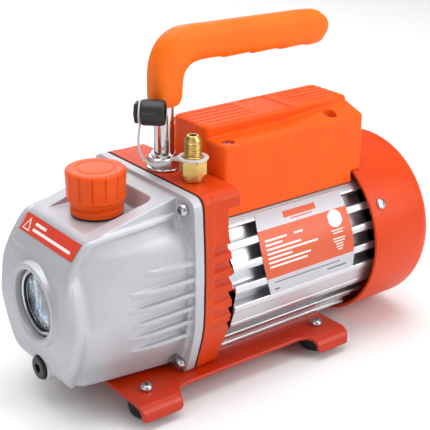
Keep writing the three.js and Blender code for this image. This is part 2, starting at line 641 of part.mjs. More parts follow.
COVER_SCREW_ANGLES.forEach((angle, i) => {
  const profile = [
    [0, 49], [1.8, 49], [1.8, COVER_RADIUS + GAP], [3.6, COVER_RADIUS + GAP], [3.4, COVER_RADIUS + 1],
    [2, COVER_RADIUS + 1.6], [0, COVER_RADIUS + 1.6],
  ];
  const screw = part(`fan_cover_screw_${i + 1}`, turnedY(profile, COVER_SCREW_X, 0), steel);
  screw.rotation.x = toRadians(angle);
  screw.position.z = SHAFT_Z;
});

// ---- Terminal box ----
// Rings of the box from its open bottom to its top: the wide part with its ledge, then the spine.
function boxSolid(wall) {
  const [front, rear] = BOX_X;
  const lower = [[105, -1.8, 0], [LEDGE_TOP - 2.4, 0, 0], [LEDGE_TOP - 0.8, 0.7, 0.7], [LEDGE_TOP, 2.2, 2.2]];
  const upper = [[105, -1.4, 0], [BOX_TOP - 6, 0, 0], [BOX_TOP - 1, 0.9, 1.5], [BOX_TOP, 2.2, 3]];
  const ring = (halfWidth, x0) => ([z, inset, rearInset]) => (
    roundedRing(x0 + inset + wall, rear - rearInset - wall, halfWidth - inset - wall, 5, z - wall)
  );
  return join(loft(lower.map(ring(BOX_HALF_WIDTH, front))), loft(upper.map(ring(SPINE_HALF_WIDTH, front - 1.6))));
}

// The ledge rises towards the rear, most beside the spine and not at all at its outer edge.
const RISE_FRONT = 85;
const RISE = 5;
function ledgeRise(side) {
  const [inner, outer] = [SPINE_HALF_WIDTH - 1, BOX_HALF_WIDTH - 2];
  const section = (x, rise) => [
    [inner, LEDGE_TOP - 2], [outer, LEDGE_TOP - 2], [outer, LEDGE_TOP - 0.2], [inner, LEDGE_TOP - 0.2 + rise],
  ].map(([y, z]) => new THREE.Vector3(x, side * y, z));
  return loft([section(RISE_FRONT, 0), section(BOX_X[1] - 2, RISE)]);
}

function makeTerminalBox() {
  const panel = extrudeY(outline([[52, 130, 2], [116, 130, 2], [116, 157, 2], [52, 157, 2]]), 30, PANEL_Y, 2);
  const rises = SIDES.map(([, side]) => ledgeRise(side));
  const shell = cut(join(boxSolid(0), panel, ...rises), boxSolid(BOX_WALL));
  const pillars = BOX_SCREWS.flatMap(([x, y]) => SIDES.map(([, side]) => (
    turnedZ(rod(6.2, 110, LEDGE_TOP - 1), x, side * y, FASTENER)
  )));
  const recesses = BOX_SCREWS.flatMap(([x, y]) => SIDES.map(([, side]) => (
    turnedZ([[0, 100], [1.9, 100], [1.9, LEDGE_TOP - 3.5], [4.4, LEDGE_TOP - 3.5], [4.4, 180], [0, 180]], x, side * y, FASTENER)
  )));
  const motor = turnedX(rod(FIN_RADIUS + 0.6, 0, 139));
  const fanCover = turnedX(rod(COVER_RADIUS + 0.6, 138.5, 200));
  const inletHole = box(INLET_X - 13.6, INLET_X + 13.6, 30, 40, PANEL_Z - 10.1, PANEL_Z + 10.1);
  const switchHole = box(SWITCH_X - 6.6, SWITCH_X + 6.6, 30, 40, PANEL_Z - 9.7, PANEL_Z + 9.7);
  return cut(join(shell, ...pillars), motor, fanCover, inletHole, switchHole, ...recesses);
}
part('terminal_box_cover', makeTerminalBox(), orangePlastic);

const boxScrewProfile = [[0, 124], [1.6, 124], [1.6, 160.5], [3.6, 160.5], [3.6, 162.3], [2, 163], [0, 163]];
BOX_SCREWS.forEach(([x, y], i) => {
  SIDES.forEach(([name, side]) => {
    part(`box_screw_${i === 0 ? 'front' : 'rear'}_${name}`, turnedZ(boxScrewProfile, x, side * y, FASTENER), steel);
  });
});

part('capacitor', turnedX(rod(13.6, 66, 118), 0, 146, MEDIUM), blackPlastic);

// ---- Power inlet and rocker switch on the far side ----
function makePowerInlet() {
  const flange = extrudeY(outline([
    [INLET_X - 15.2, PANEL_Z - 11.8, 2], [INLET_X + 15.2, PANEL_Z - 11.8, 2],
    [INLET_X + 15.2, PANEL_Z + 11.8, 2], [INLET_X - 15.2, PANEL_Z + 11.8, 2],
  ]), PANEL_Y + GAP, PANEL_Y + 2.5, 2);
  const body = box(INLET_X - 13.2, INLET_X + 13.2, 17, PANEL_Y + 1, PANEL_Z - 9.8, PANEL_Z + 9.8);
  const socket = extrudeY(outline([
    [INLET_X - 11.8, PANEL_Z - 8, 1.5], [INLET_X + 11.8, PANEL_Z - 8, 1.5], [INLET_X + 11.8, PANEL_Z + 2, 1],
    [INLET_X + 6.5, PANEL_Z + 8, 1], [INLET_X - 6.5, PANEL_Z + 8, 1], [INLET_X - 11.8, PANEL_Z + 2, 1],
  ]), 22, 45, 2);
  const pins = [[-7, -2], [7, -2], [0, 2.5]].map(([x, z]) => (
    box(INLET_X + x - 1, INLET_X + x + 1, 20, PANEL_Y - 3, PANEL_Z + z - 2, PANEL_Z + z + 2)
  ));
  return join(cut(join(flange, body), socket), ...pins);
}
part('power_inlet', makePowerInlet(), blackPlastic);

function makeSwitchFrame() {
  const flange = box(SWITCH_X - 7.6, SWITCH_X + 7.6, PANEL_Y + GAP, PANEL_Y + 2.2, PANEL_Z - 10.6, PANEL_Z + 10.6);
  const body = box(SWITCH_X - 6.3, SWITCH_X + 6.3, 24, PANEL_Y + 1, PANEL_Z - 9.4, PANEL_Z + 9.4);
  return cut(join(flange, body), box(SWITCH_X - 5.3, SWITCH_X + 5.3, 28, 45, PANEL_Z - 8.4, PANEL_Z + 8.4));
}
part('switch_frame', makeSwitchFrame(), blackPlastic);

const rockerShape = outline([[0, -4.5], [7.6, -1], [7.6, 5], [0, 3.4], [-7.6, 5], [-7.6, -1]]);
const rocker = part('switch_rocker', extrudeX(rockerShape, -4.9, 4.9).rotateX(-Math.PI / 2), redPlastic);
rocker.position.set(SWITCH_X, PANEL_Y - 2, PANEL_Z);
rocker.rotation.x = toRadians(ROCKER_REST);

// ---- Handle ----
part('handle_post', turnedZ([
  [0, 129], [POST_RADIUS, 129], [POST_RADIUS, 200], [POST_RADIUS - 1, 201], [0, 201],
], ...POST, SMALL), chrome);

function makeHandleNut() {
  const hexagon = turnedZ(rod(10.9, BODY_TOP + 2, BODY_TOP + 8.4), ...POST, 6);
  const chamfer = turnedZ([
    [0, BODY_TOP + GAP], [11, BODY_TOP + GAP], [11, BODY_TOP + 7], [9.2, BODY_TOP + 8.4], [8.2, BODY_TOP + 8.4],
    [8.2, BODY_TOP + 10.4], [0, BODY_TOP + 10.4],
  ], ...POST);
  const round = turnedZ([
    [0, BODY_TOP + GAP], [11, BODY_TOP + GAP], [11, BODY_TOP + 2], [8.2, BODY_TOP + 2.4],
    [8.2, BODY_TOP + 10.4], [0, BODY_TOP + 10.4],
  ], ...POST);
  return cut(join(common(hexagon, chamfer), round), turnedZ(rod(POST_RADIUS + 0.4, 140, 160), ...POST, SMALL));
}
part('handle_nut', makeHandleNut(), chrome);

// The grip is a row of oval sections. Each has a point on the outer side of the bend and one on
// the inner side, [x, z], and half of its depth across.
function gripSections() {
  const leg = [
    [[4.4, 184], [19.8, 184], 0.88], [[3, 185.6], [22.4, 185.6], 0.95], [[2.4, 189], [24, 189], 1],
    [[2, 198], [24.8, 197], 1], [[2.4, 207.4], [26, 202.4], 1], [[4.6, 216.2], [28.6, 205.6], 1],
    [[9.5, 224.2], [31.4, 207.3], 1], [[17, 229.4], [35, 208.2], 1], [[26.5, 231.5], [40, 208.8], 1],
  ];
  const arm = [];
  for (let x = 47; x <= 124; x += 7) {
    const finger = 0.8 * Math.cos((2 * Math.PI * (x - 50)) / 21);
    arm.push([[x - 1.5, 231.6 - 0.022 * (x - 26)], [x + 1, 207.6 - 0.012 * (x - 40) - finger], 1]);
  }
  const tip = [
    [[130, 228.9], [131.5, 206.2], 1], [[137.5, 226.2], [138.6, 208], 0.93], [[141, 223.6], [141.5, 210.8], 0.8],
    [[143, 221], [143.2, 213.6], 0.6], [[143.8, 218.6], [143.9, 215.6], 0.3],
  ];
  return [...leg, ...arm, ...tip];
}

function gripRing([[x0, z0], [x1, z1], depth]) {
  const steps = 14;
  const squareness = 0.8; // 1 is an ellipse, and less is fuller at the corners
  const swell = (value) => Math.sign(value) * Math.abs(value) ** squareness;
  return Array.from({ length: steps }, (_, k) => {
    const angle = (2 * Math.PI * k) / steps;
    const across = 0.5 + 0.5 * swell(Math.cos(angle));
    const y = POST[1] + GRIP_HALF_DEPTH * depth * swell(Math.sin(angle));
    return new THREE.Vector3(x0 + (x1 - x0) * across, y, z0 + (z1 - z0) * across);
  });
}
part('handle_grip', cut(
  loft(gripSections().map(gripRing)),
  turnedZ(rod(POST_RADIUS + 0.4, 180, 201.5), ...POST, SMALL),
), gripPlastic);

// ---- Brass inlet fitting, its cap and the strap that keeps the cap ----
const RING_Z = [157.4, 158.8]; // the strap's ring lies on the hexagon, between these heights
function makeInletFitting() {
  const turned = turnedZ([
    [0, 131], [4.1, 131], [4.1, BODY_TOP + GAP], [6.4, BODY_TOP + GAP], [6.6, 148], [5.9, 157], [5.9, 159.4],
    [5.6, 160], [5.6, 168.3], [3.6, 172.4], [0, 172.4],
  ], ...FITTING, SMALL);
  const hexagon = turnedZ(rod(8.6, 147.8, 157), ...FITTING, 6, toRadians(10));
  return cut(join(turned, hexagon), turnedZ(rod(2.4, 120, 180), ...FITTING, FASTENER));
}
part('inlet_fitting', makeInletFitting(), brass);

// The strap's group points +X from the fitting to the hanging cap.
const strapFrame = new THREE.Group();
strapFrame.position.set(...FITTING, 0);
strapFrame.rotation.z = toRadians(CAP_ANGLE);
assembly.add(strapFrame);

const NECK_X = 31.6; // distance of the cap's neck groove from the fitting
function makeCapTether() {
  const path = new THREE.CatmullRomCurve3([
    [7, 158.1], [10.8, 157.2], [15.4, 154], [21, 152.2], [26.6, 153], [31, 157], [32.9, 163], [33.1, 169],
    [32.2, 175.5], [NECK_X, 178.4],
  ].map(([x, z]) => new THREE.Vector3(x, 0, z)));
  const section = outline([[-1.7, -0.65], [1.7, -0.65], [1.7, 0.65], [-1.7, 0.65]]);
  const strap = new THREE.ExtrudeGeometry(section, {
    steps: 18, curveSegments: 1, bevelEnabled: false, extrudePath: path,
  });
  const fittingRing = turnedZ(tube(6.4, 9.6, ...RING_Z), 0, 0, SMALL);
  const capRing = turnedX(tube(5, 7.6, NECK_X - 0.65, NECK_X + 0.65), 0, CAP_Z, SMALL);
  return cut(
    join(strap, fittingRing, capRing),
    turnedZ(rod(6.4, 150, 165), 0, 0, SMALL),
    turnedX(rod(5, 28, 35), 0, CAP_Z, SMALL),
  );
}
part('cap_tether', makeCapTether(), clearPlastic, strapFrame);

function makeInletCap() {
  const cup = turnedX([
    [0, 27.2], [0, 34.8], [4.6, 34.8], [4.6, NECK_X - 1], [7.6, NECK_X - 1], [8, 29.6], [8, 19.2],
    [7.2, 16.6], [5.8, 16.6], [5.8, 27.2], [0, 27.2],
  ], 0, CAP_Z, SMALL);
  const lobes = Array.from({ length: 12 }, (_, k) => {
    const radius = k % 2 === 0 ? 7 : 5.2;
    return [radius * Math.cos((Math.PI * k) / 6), CAP_Z + radius * Math.sin((Math.PI * k) / 6)];
  });
  return join(cup, extrudeX(outline(lobes), NECK_X + 1, 35.4));
}
part('inlet_cap', makeInletCap(), blackPlastic, strapFrame);

export default pump;
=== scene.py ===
"""Looks of the rotary vane vacuum pump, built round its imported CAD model.

Shapes are drawn in millimetres, from the joint between the oil tank and the pump body, with the
shaft along X. place() then moves each finished mesh into the CAD frame, in metres.
"""

import math

import bmesh
import bpy
from mathutils import Matrix, Vector


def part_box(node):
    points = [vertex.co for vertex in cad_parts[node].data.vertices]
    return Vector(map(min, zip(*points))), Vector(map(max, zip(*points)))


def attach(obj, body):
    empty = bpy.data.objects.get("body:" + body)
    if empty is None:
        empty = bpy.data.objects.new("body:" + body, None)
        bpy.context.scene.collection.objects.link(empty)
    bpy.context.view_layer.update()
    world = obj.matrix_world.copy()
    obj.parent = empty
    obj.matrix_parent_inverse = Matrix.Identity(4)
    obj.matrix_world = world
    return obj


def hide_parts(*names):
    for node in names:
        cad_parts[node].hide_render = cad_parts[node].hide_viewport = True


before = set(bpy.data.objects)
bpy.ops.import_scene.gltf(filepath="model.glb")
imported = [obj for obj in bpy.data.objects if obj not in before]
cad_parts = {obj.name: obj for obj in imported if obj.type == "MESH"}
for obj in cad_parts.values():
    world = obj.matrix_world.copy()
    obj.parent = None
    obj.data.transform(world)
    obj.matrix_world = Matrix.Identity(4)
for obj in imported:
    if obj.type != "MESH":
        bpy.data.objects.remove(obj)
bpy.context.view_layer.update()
scene = bpy.context.scene

FLOOR_Z = 9
SHAFT_Z = 73
BODY_TOP = 143.5
FLANGE_BOTTOM = 25.3
TANK_FRONT, FLANGE_FRONT, FLANGE_REAR = -87, -7.5, -0.8
WINDOW_Z = 78.5
DRAIN_Z = 34.5
FILL_X = -40
BOX_FRONT, BOX_REAR = 30.4, 149
LEDGE_TOP, BOX_TOP = 163.7, 172
BOX_SCREWS = [(38, 28), (125, 26)]
POST = (12, 3)
FITTING = (13, -26)
CAP_ANGLE = 137
CAP_Z = 185.5
NECK_X = 31.6
PANEL_Y, PANEL_Z, SWITCH_X, INLET_X = 37.2, 143, 102, 70
COVER_FRONT, COVER_REAR, COVER_RADIUS = 140.5, 197.2, 62
FIN_COUNT, FIN_PHASE = 25, 90
FIN_BRIDGES = (54, 126, 198, 270, 342)
GRIP_HALF_DEPTH = 8.2
LABEL_RADIUS = 56.15
LABEL_FRONT, LABEL_REAR = 52, 124.6
PLATE_HALF, WAIST_HALF = 66, 55
FOOT_PLACES = {f"{end}_{side}": (x, y) for end, x in (("front", -38), ("rear", 101.4))
               for side, y in (("left", -47.2), ("right", 47.2))}
COVER_SCREW_ANGLES = (30, 150, 270)
LOUVRE_LOWEST, LOUVRE_PITCH, LOUVRE_COUNT = 50.4, 10.7, 6
TANK_FIN_SLOPE = -4.8

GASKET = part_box("tank_gasket")
ORIGIN = Vector((GASKET[1].x, 0, GASKET[1].z - BODY_TOP / 1000))
TO_FRAME = Matrix.Translation(ORIGIN) @ Matrix.Scale(0.001, 4)


# ---- Points and outlines ----
def rounded(corners, closed=True, steps=4):
    """Points along an outline whose corners, (u, v, radius), are rounded off."""
    points = []
    for i, corner in enumerate(corners):
        here = Vector(corner[:2])
        radius = corner[2] if len(corner) > 2 else 0
        if radius == 0 or (not closed and i in (0, len(corners) - 1)):
            points.append(here)
            continue
        before = Vector(corners[i - 1][:2]) - here
        after = Vector(corners[(i + 1) % len(corners)][:2]) - here
        start = here + before.normalized() * radius
        end = here + after.normalized() * radius
        for k in range(steps + 1):
            t = k / steps
            points.append((1 - t) ** 2 * start + 2 * t * (1 - t) * here + t * t * end)
    return points


def mirrored(half):
    """An outline from its right half, mirrored across u = 0."""
    return half + [(-corner[0], *corner[1:]) for corner in reversed(half)]


def rectangle(u0, u1, v0, v1, radius=0):
    return [(u0, v0, radius), (u1, v0, radius), (u1, v1, radius), (u0, v1, radius)]


def smooth_path(points, steps):
    """A Catmull-Rom curve through points of any dimension."""
    points = [Vector(p) for p in points]
    padded = [2 * points[0] - points[1], *points, 2 * points[-1] - points[-2]]
    path = []
    for a, b, c, d in zip(padded, padded[1:], padded[2:], padded[3:]):
        for k in range(steps):
            t = k / steps
            path.append(0.5 * (2 * b + (c - a) * t + (2 * a - 5 * b + 4 * c - d) * t * t
                               + (3 * b - a - 3 * c + d) * t ** 3))
    return [*path, points[-1]]


def smoothstep(t):
    t = min(max(t, 0), 1)
    return t * t * (3 - 2 * t)


# ---- Closed shapes ----
LAY = {
    "X": lambda u, v, h: (h, u, v),
    "Y": lambda u, v, h: (u, h, v),
    "Z": lambda u, v, h: (u, v, h),
}


def facing_out(mesh, bevel=0, bevel_faces=0):
    """Merges double points, rounds the rims of the first faces and turns all faces outwards."""
    shell = bmesh.new()
    shell.from_mesh(mesh)
    if bevel:
        shell.faces.ensure_lookup_table()
        rims = {edge for face in shell.faces[:bevel_faces] for edge in face.edges}
        bmesh.ops.bevel(shell, geom=list(rims), offset=bevel, segments=3, profile=0.5,
                        affect="EDGES", clamp_overlap=True)
    bmesh.ops.remove_doubles(shell, verts=shell.verts, dist=1e-4)
    bmesh.ops.recalc_face_normals(shell, faces=shell.faces)
    shell.to_mesh(mesh)
    shell.free()


def linked(name, data):
    obj = bpy.data.objects.new(name, data)
    scene.collection.objects.link(obj)
    return obj


def shape(verts, faces, bevel=0, bevel_faces=0):
    mesh = bpy.data.meshes.new("shape")
    mesh.from_pydata([tuple(v) for v in verts], [], faces)
    facing_out(mesh, bevel, bevel_faces)
    return linked("shape", mesh)


def turned(profile, axis="Z", centre=(0, 0, 0), segments=64, closed=False, swell=None, phase=0):
    """A lathe shape from (radius, distance, corner radius) points. swell may change the radius."""
    verts, rings = [], []
    for r, h in rounded(profile, closed):
        if r < 1e-6:
            rings.append([len(verts)])
            verts.append(LAY[axis](0, 0, h))
            continue
        rings.append(range(len(verts), len(verts) + segments))
        for k in range(segments):
            angle = 2 * math.pi * k / segments + phase
            radius = swell(r, h, angle) if swell else r
            verts.append(LAY[axis](radius * math.cos(angle), radius * math.sin(angle), h))
    pairs = list(zip(rings, rings[1:]))
    if closed:
        pairs.append((rings[-1], rings[0]))
    faces = []
    for low, high in pairs:
        if len(low) == len(high) == 1:
            continue
        for k in range(segments):
            n = (k + 1) % segments
            if len(low) == 1:
                faces.append((low[0], high[n], high[k]))
            elif len(high) == 1:
                faces.append((low[k], low[n], high[0]))
            else:
                faces.append((low[k], low[n], high[n], high[k]))
    obj = shape(verts, faces)
    obj.data.transform(Matrix.Translation(centre))
    return obj


def rod(radius, start, end, edge=0):
    return [(0, start), (radius, start, edge), (radius, end, edge), (0, end)]


def tube(inner, outer, start, end, edge=0):
    return [(inner, start, edge), (outer, start, edge), (outer, end, edge), (inner, end, edge)]


def prism(corners, axis, start, end, edge=0, steps=4):
    """An outline extruded along an axis, with its two rims rounded."""
    points = rounded(corners, steps=steps)
    count = len(points)
    verts = [LAY[axis](u, v, h) for h in (start, end) for u, v in points]
    faces = [tuple(range(count)), tuple(range(count, 2 * count))]
    faces += [(k, (k + 1) % count, count + (k + 1) % count, count + k) for k in range(count)]
    return shape(verts, faces, edge, 2)


def block(x0, x1, y0, y1, z0, z1, edge=0):
    return prism(rectangle(x0, x1, y0, y1), "Z", z0, z1, edge)


def on_shaft(radius, start, end, segments=64, edge=0):
    """A cylinder round the shaft's line."""
    return turned(rod(radius, start, end, edge), "X", (0, 0, SHAFT_Z), segments)


def loft(rings):
    """A closed shape through rings of equal length."""
    count = len(rings[0])
    verts = [point for ring in rings for point in ring]
    last = len(verts) - count
    faces = [tuple(range(count)), tuple(range(last, last + count))]
    for low in range(0, last, count):
        for k in range(count):
            n = (k + 1) % count
            faces.append((low + k, low + n, low + count + n, low + count + k))
    return shape(verts, faces)


def swept(path, section):
    """A section of (across, along Y) points carried along a path."""
    rings = []
    for i, point in enumerate(path):
        tangent = (path[min(i + 1, len(path) - 1)] - path[max(i - 1, 0)]).normalized()
        across = tangent.cross(Vector((0, 1, 0))).normalized()
        along = across.cross(tangent)
        rings.append([point + across * a + along * b for a, b in section])
    return loft(rings)


def circle(radius, steps=12):
    angles = [2 * math.pi * k / steps for k in range(steps)]
    return [(radius * math.cos(a), radius * math.sin(a)) for a in angles]


# ---- Work on shapes ----
def applied(obj):
    graph = bpy.context.evaluated_depsgraph_get()
    mesh = bpy.data.meshes.new_from_object(obj.evaluated_get(graph))
    obj.modifiers.clear()
    obj.data = mesh
    return obj


def combine(operation, base, tools):
    for tool in tools:
        modifier = base.modifiers.new("combine", "BOOLEAN")
        modifier.operation = operation
        modifier.solver = "MANIFOLD"
        modifier.object = tool
    applied(base)
    for tool in tools:
        bpy.data.objects.remove(tool)
    return base


def join(base, *tools):
    return combine("UNION", base, tools)


def cut(base, *tools):
    return combine("DIFFERENCE", base, tools)


def common(base, *tools):
    return combine("INTERSECT", base, tools)


def cast(obj, voxel, passes, kept):
    """Rounds every edge of a shape a little, as casting and moulding do."""
    remesh = obj.modifiers.new("voxels", "REMESH")
    remesh.mode = "VOXEL"
    remesh.voxel_size = voxel
    smooth = obj.modifiers.new("smooth", "SMOOTH")
    smooth.factor = 0.5
    smooth.iterations = passes
    thin = obj.modifiers.new("thin", "DECIMATE")
    thin.ratio = kept
    return applied(obj)


def moved(obj, matrix):
    obj.data.transform(matrix)
    return obj


def towards(direction, location, spin=0):
    """Turns +Z to a direction and moves the origin to a location."""
    turn = Vector(direction).to_track_quat("Z", "Y").to_matrix().to_4x4()
    return Matrix.Translation(location) @ turn @ Matrix.Rotation(math.radians(spin), 4, "Z")


def about_shaft(degrees):
    return Matrix.Translation((0, 0, SHAFT_Z)) @ Matrix.Rotation(math.radians(degrees), 4, "X")


def place(obj, name, finish, replaces=(), body="pump", slot="", crease=35):
    """Finishes a shape, ties it to the frame and hides the CAD parts it replaces. A slot is
    worked out from the finish unless one is given, but it is not given to the shape."""
    obj.name = obj.data.name = name
    obj.data.transform(TO_FRAME)
    obj.data.shade_smooth()
    obj.data.set_sharp_from_angle(angle=math.radians(crease))
    if not obj.data.materials or finish:
        obj.data.materials.clear()
        obj.data.materials.append(FINISHES[finish])
    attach(obj, body)
    slot = finish if slot == "" else slot
    if replaces:
        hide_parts(*replaces)
    return obj


# ---- Materials ----
def linear(code):
    """A hex colour as scene-linear RGBA."""
    parts = [int(code[i:i + 2], 16) / 255 for i in (0, 2, 4)]
    return [p / 12.92 if p <= 0.04045 else ((p + 0.055) / 1.055) ** 2.4 for p in parts] + [1]


def link_noise(nodes, links, scale, stretch=(1, 1, 1), detail=3):
    where = nodes.new("ShaderNodeTexCoord")
    mapping = nodes.new("ShaderNodeMapping")
    mapping.inputs["Scale"].default_value = stretch
    noise = nodes.new("ShaderNodeTexNoise")
    noise.inputs["Scale"].default_value = scale
    noise.inputs["Detail"].default_value = detail
    links.new(where.outputs["Object"], mapping.inputs["Vector"])
    links.new(mapping.outputs["Vector"], noise.inputs["Vector"])
    return noise.outputs["Fac"]


def link_range(nodes, links, value, low, high, source=(0.3, 0.7)):
    remap = nodes.new("ShaderNodeMapRange")
    remap.inputs["From Min"].default_value, remap.inputs["From Max"].default_value = source
    remap.inputs["To Min"].default_value = low
    remap.inputs["To Max"].default_value = high
    links.new(value, remap.inputs["Value"])
    return remap.outputs["Result"]


def new_material(name):
    made = bpy.data.materials.new(name)
    made.use_nodes = True
    nodes = made.node_tree.nodes
    return made, nodes, made.node_tree.links, nodes["Principled BSDF"]


def make_finish(name, colour, second, roughness, metallic=0, grain=1500, height=20, spread=0.05,
                mottle_scale=40, stretch=(1, 1, 1), edge=0, gloss=0.5, **sockets):
    """A Principled material. Its colour drifts to a second colour in soft patches, its roughness
    wanders by spread, a grain of a given scale and height (in micrometres) roughens it, and its
    sharp edges may be lightened, partly as wear and partly as a painted highlight."""
    made, nodes, links, shader = new_material(name)
    shader.inputs["Metallic"].default_value = metallic
    shader.inputs["Specular IOR Level"].default_value = gloss
    for socket, value in sockets.items():
        shader.inputs[socket.replace("_", " ")].default_value = value
    mix = nodes.new("ShaderNodeMix")
    mix.data_type = "RGBA"
    mix.inputs[6].default_value = linear(colour)
    mix.inputs[7].default_value = linear(second)
    patches = link_noise(nodes, links, mottle_scale, stretch)
    links.new(link_range(nodes, links, patches, 0, 1), mix.inputs["Factor"])
    tint = mix.outputs[2]
    # Pointiness lightens sharp edges: wear on the cast aluminium, a painted highlight on the paints
    # and plastics.
    if edge:
        geometry = nodes.new("ShaderNodeNewGeometry")
        edge_wear_and_highlight = nodes.new("ShaderNodeMix")
        edge_wear_and_highlight.data_type = "RGBA"
        edge_wear_and_highlight.blend_type = "ADD"
        edge_wear_and_highlight.inputs[7].default_value = (edge, edge, edge, 1)
        sharp = link_range(nodes, links, geometry.outputs["Pointiness"], 0, 1, (0.52, 0.62))
        links.new(sharp, edge_wear_and_highlight.inputs["Factor"])
        links.new(tint, edge_wear_and_highlight.inputs[6])
        tint = edge_wear_and_highlight.outputs[2]
    links.new(tint, shader.inputs["Base Color"])
    fine = link_noise(nodes, links, grain, stretch, 4)
    low, high = roughness - spread, roughness + spread
    links.new(link_range(nodes, links, fine, low, high), shader.inputs["Roughness"])
    bump = nodes.new("ShaderNodeBump")
    bump.inputs["Strength"].default_value = 1
    bump.inputs["Distance"].default_value = height / 1e6
    links.new(fine, bump.inputs["Height"])
    links.new(bump.outputs["Normal"], shader.inputs["Normal"])
    return made


ALONG_SHAFT = {"stretch": (0.03, 1, 1)}
# Two colours, roughness, metallic, grain scale, grain height in micrometres, and the rest.
FINISH_TABLE = {
    "cast_aluminium": ("c4c5ca", "b8b9bf", 0.5, 0.38, 1100, 50, dict(edge=0.06, mottle_scale=30)),
    "body_paint": ("d44006", "cc3a05", 0.42, 0, 1300, 30, dict(edge=0.04, gloss=0.25)),
    "cover_paint": ("da4408", "d43e06", 0.4, 0, 1300, 20, dict(gloss=0.25)),
    "plate_paint": ("c22e04", "ba2903", 0.34, 0, 500, 6, dict(edge=0.04, gloss=0.35)),
    "box_plastic": ("fa5e0c", "f6580a", 0.45, 0, 2000, 30, dict(edge=0.03, gloss=0.2)),
    "cap_plastic": ("ee5406", "e84e05", 0.4, 0, 2000, 20, dict(edge=0.04, gloss=0.25)),
    "grip_plastic": ("fa740e", "f66c0a", 0.48, 0, 1500, 40, dict(gloss=0.25)),
    "motor_aluminium": ("d6d7da", "cccdd1", 0.34, 0.9, 2200, 10, ALONG_SHAFT),
    "nut_steel": ("d4d6da", "c8cacf", 0.2, 1, 1500, 20, dict(spread=0.04)),
    "screw_steel": ("cfd0d3", "bcbdc2", 0.24, 1, 2500, 20, dict(spread=0.08)),
    "machined_steel": ("b6b8bc", "a2a4a9", 0.3, 1, 2500, 20, dict(spread=0.1)),
    "chrome": ("cfd1d5", "c4c6cb", 0.08, 1, 300, 2,
               dict(spread=0.02, Specular_Tint=(0.2, 0.2, 0.2, 1))),
    "iron": ("5a5b5f", "48494d", 0.6, 0.8, 1200, 60, {}),
    "brass": ("dcbf7c", "cfae62", 0.35, 1, 2600, 10, dict(stretch=(1, 1, 6), spread=0.08)),
    "copper": ("b0643a", "8f4c2a", 0.38, 0.9, 1800, 100, {}),
    "rubber": ("171717", "101010", 0.75, 0, 1600, 60, {}),
    "black_plastic": ("1d1d1f", "161618", 0.42, 0, 2000, 30, dict(edge=0.02)),
    "strap_plastic": ("efe6e3", "e6dad8", 0.32, 0, 900, 20,
                      dict(Transmission_Weight=0.3, Subsurface_Weight=0.2)),
    "vane_composite": ("4a3c30", "3a2e24", 0.65, 0, 1500, 20, {}),
    "rocker_plastic": ("b01818", "a01212", 0.35, 0, 1500, 20, {}),
    "label_silver": ("c6c6cb", "bebec4", 0.4, 0.15, 1500, 5, {}),
    "label_orange": ("d85a30", "d2532a", 0.4, 0, 1500, 5, {}),
    "label_white": ("f6efec", "efe6e2", 0.45, 0, 1500, 5, {}),
    "label_grey": ("6b6b70", "626267", 0.45, 0, 1500, 5, {}),
    "sticker_red": ("dd3f26", "d83a22", 0.36, 0, 1500, 5, dict(Coat_Weight=0.3)),
}
FINISHES = {name: make_finish(name, *row[:-1], **row[-1]) for name, row in FINISH_TABLE.items()}


def fill_ramp(ramp, stops):
    elements = ramp.color_ramp.elements
    for stop, colour in stops[1:-1]:
        elements.new(stop).color = colour
    elements[0].color, elements[-1].color = stops[0][1], stops[-1][1]


def make_sight_glass_painted_reflections():
    """Glass whose colour paints broken blue and white reflections over painted shade that stands
    for the dark inside of the tank.
    """
    made, nodes, links, shader = new_material("sight_glass_painted_reflections")
    shader.inputs["Coat Weight"].default_value = 1
    shader.inputs["Coat Roughness"].default_value = 0.03
    ramp = nodes.new("ShaderNodeValToRGB")
    # Dark grey stops paint the shade of the tank's inside; the blue and white stops paint broken
    # reflections.
    stops = [(0, "23272c"), (0.36, "59626b"), (0.45, "8f9aa5"), (0.52, "3f86c4"), (0.57, "9db8cf"),
             (0.62, "e8edf2"), (0.7, "77818b"), (1, "2d3238")]
    fill_ramp(ramp, [(stop, linear(code)) for stop, code in stops])
    painted_reflection_swirl = link_noise(nodes, links, 85, (1, 1.6, 0.7), 4)
    links.new(link_range(nodes, links, painted_reflection_swirl, 0, 1, (0.25, 0.75)), ramp.inputs["Fac"])
    links.new(ramp.outputs["Color"], shader.inputs["Base Color"])
    links.new(link_range(nodes, links, painted_reflection_swirl, 0.05, 0.25), shader.inputs["Roughness"])
    return made


FINISHES["sight_glass_painted_reflections"] = make_sight_glass_painted_reflections()


# ---- Oil tank ----
FRONT_EDGE = [(24, 20), (29.6, 36), (38, 50), (44.6, 70), (42.4, 84), (39, 97), (35.2, 106.5),
              (34.4, 112), (34, 117), (33.6, 124), (31, 142)]
REAR_EDGE = [(33, 20), (39, 36), (45.5, 50), (50, 70), (51.3, 84), (51.6, 98), (51.2, 108),
             (48.6, 117), (41.2, 122.4), (38.4, 129.5), (36, 150)]
RIM_PATH = [(-77, 24, 34), (-82.6, 28.5, 40), (-83.6, 35.8, 54), (-84, 41, 70),
            (-84, 39.6, 84), (-83.4, 36.8, 97), (-81, 34.8, 106), (-76.5, 34.4, 114),
            (-68.8, 34.6, 123), (-60, 35.4, 125.2), (-35, 37, 127.4), (-9, 37.6, 129.6)]
TANK_FINS = [(55.4, -46, 47.4), (65.4, -48.5, 49.7), (74.7, -50.5, 50.8), (84.2, -51, 51.3),
             (93.9, -47, 51.6), (104.3, -37.5, 51)]


def tank_ring(x, inset):
    t = (x - TANK_FRONT) / (FLANGE_FRONT - TANK_FRONT)
    half = [Vector((a[0] + t * (b[0] - a[0]) - inset, a[1] + t * (b[1] - a[1])))
            for a, b in zip(FRONT_EDGE, REAR_EDGE)]
    side = smooth_path(half, 5)
    return [(x, p.x, p.y) for p in side] + [(x, -p.x, p.y) for p in reversed(side)]


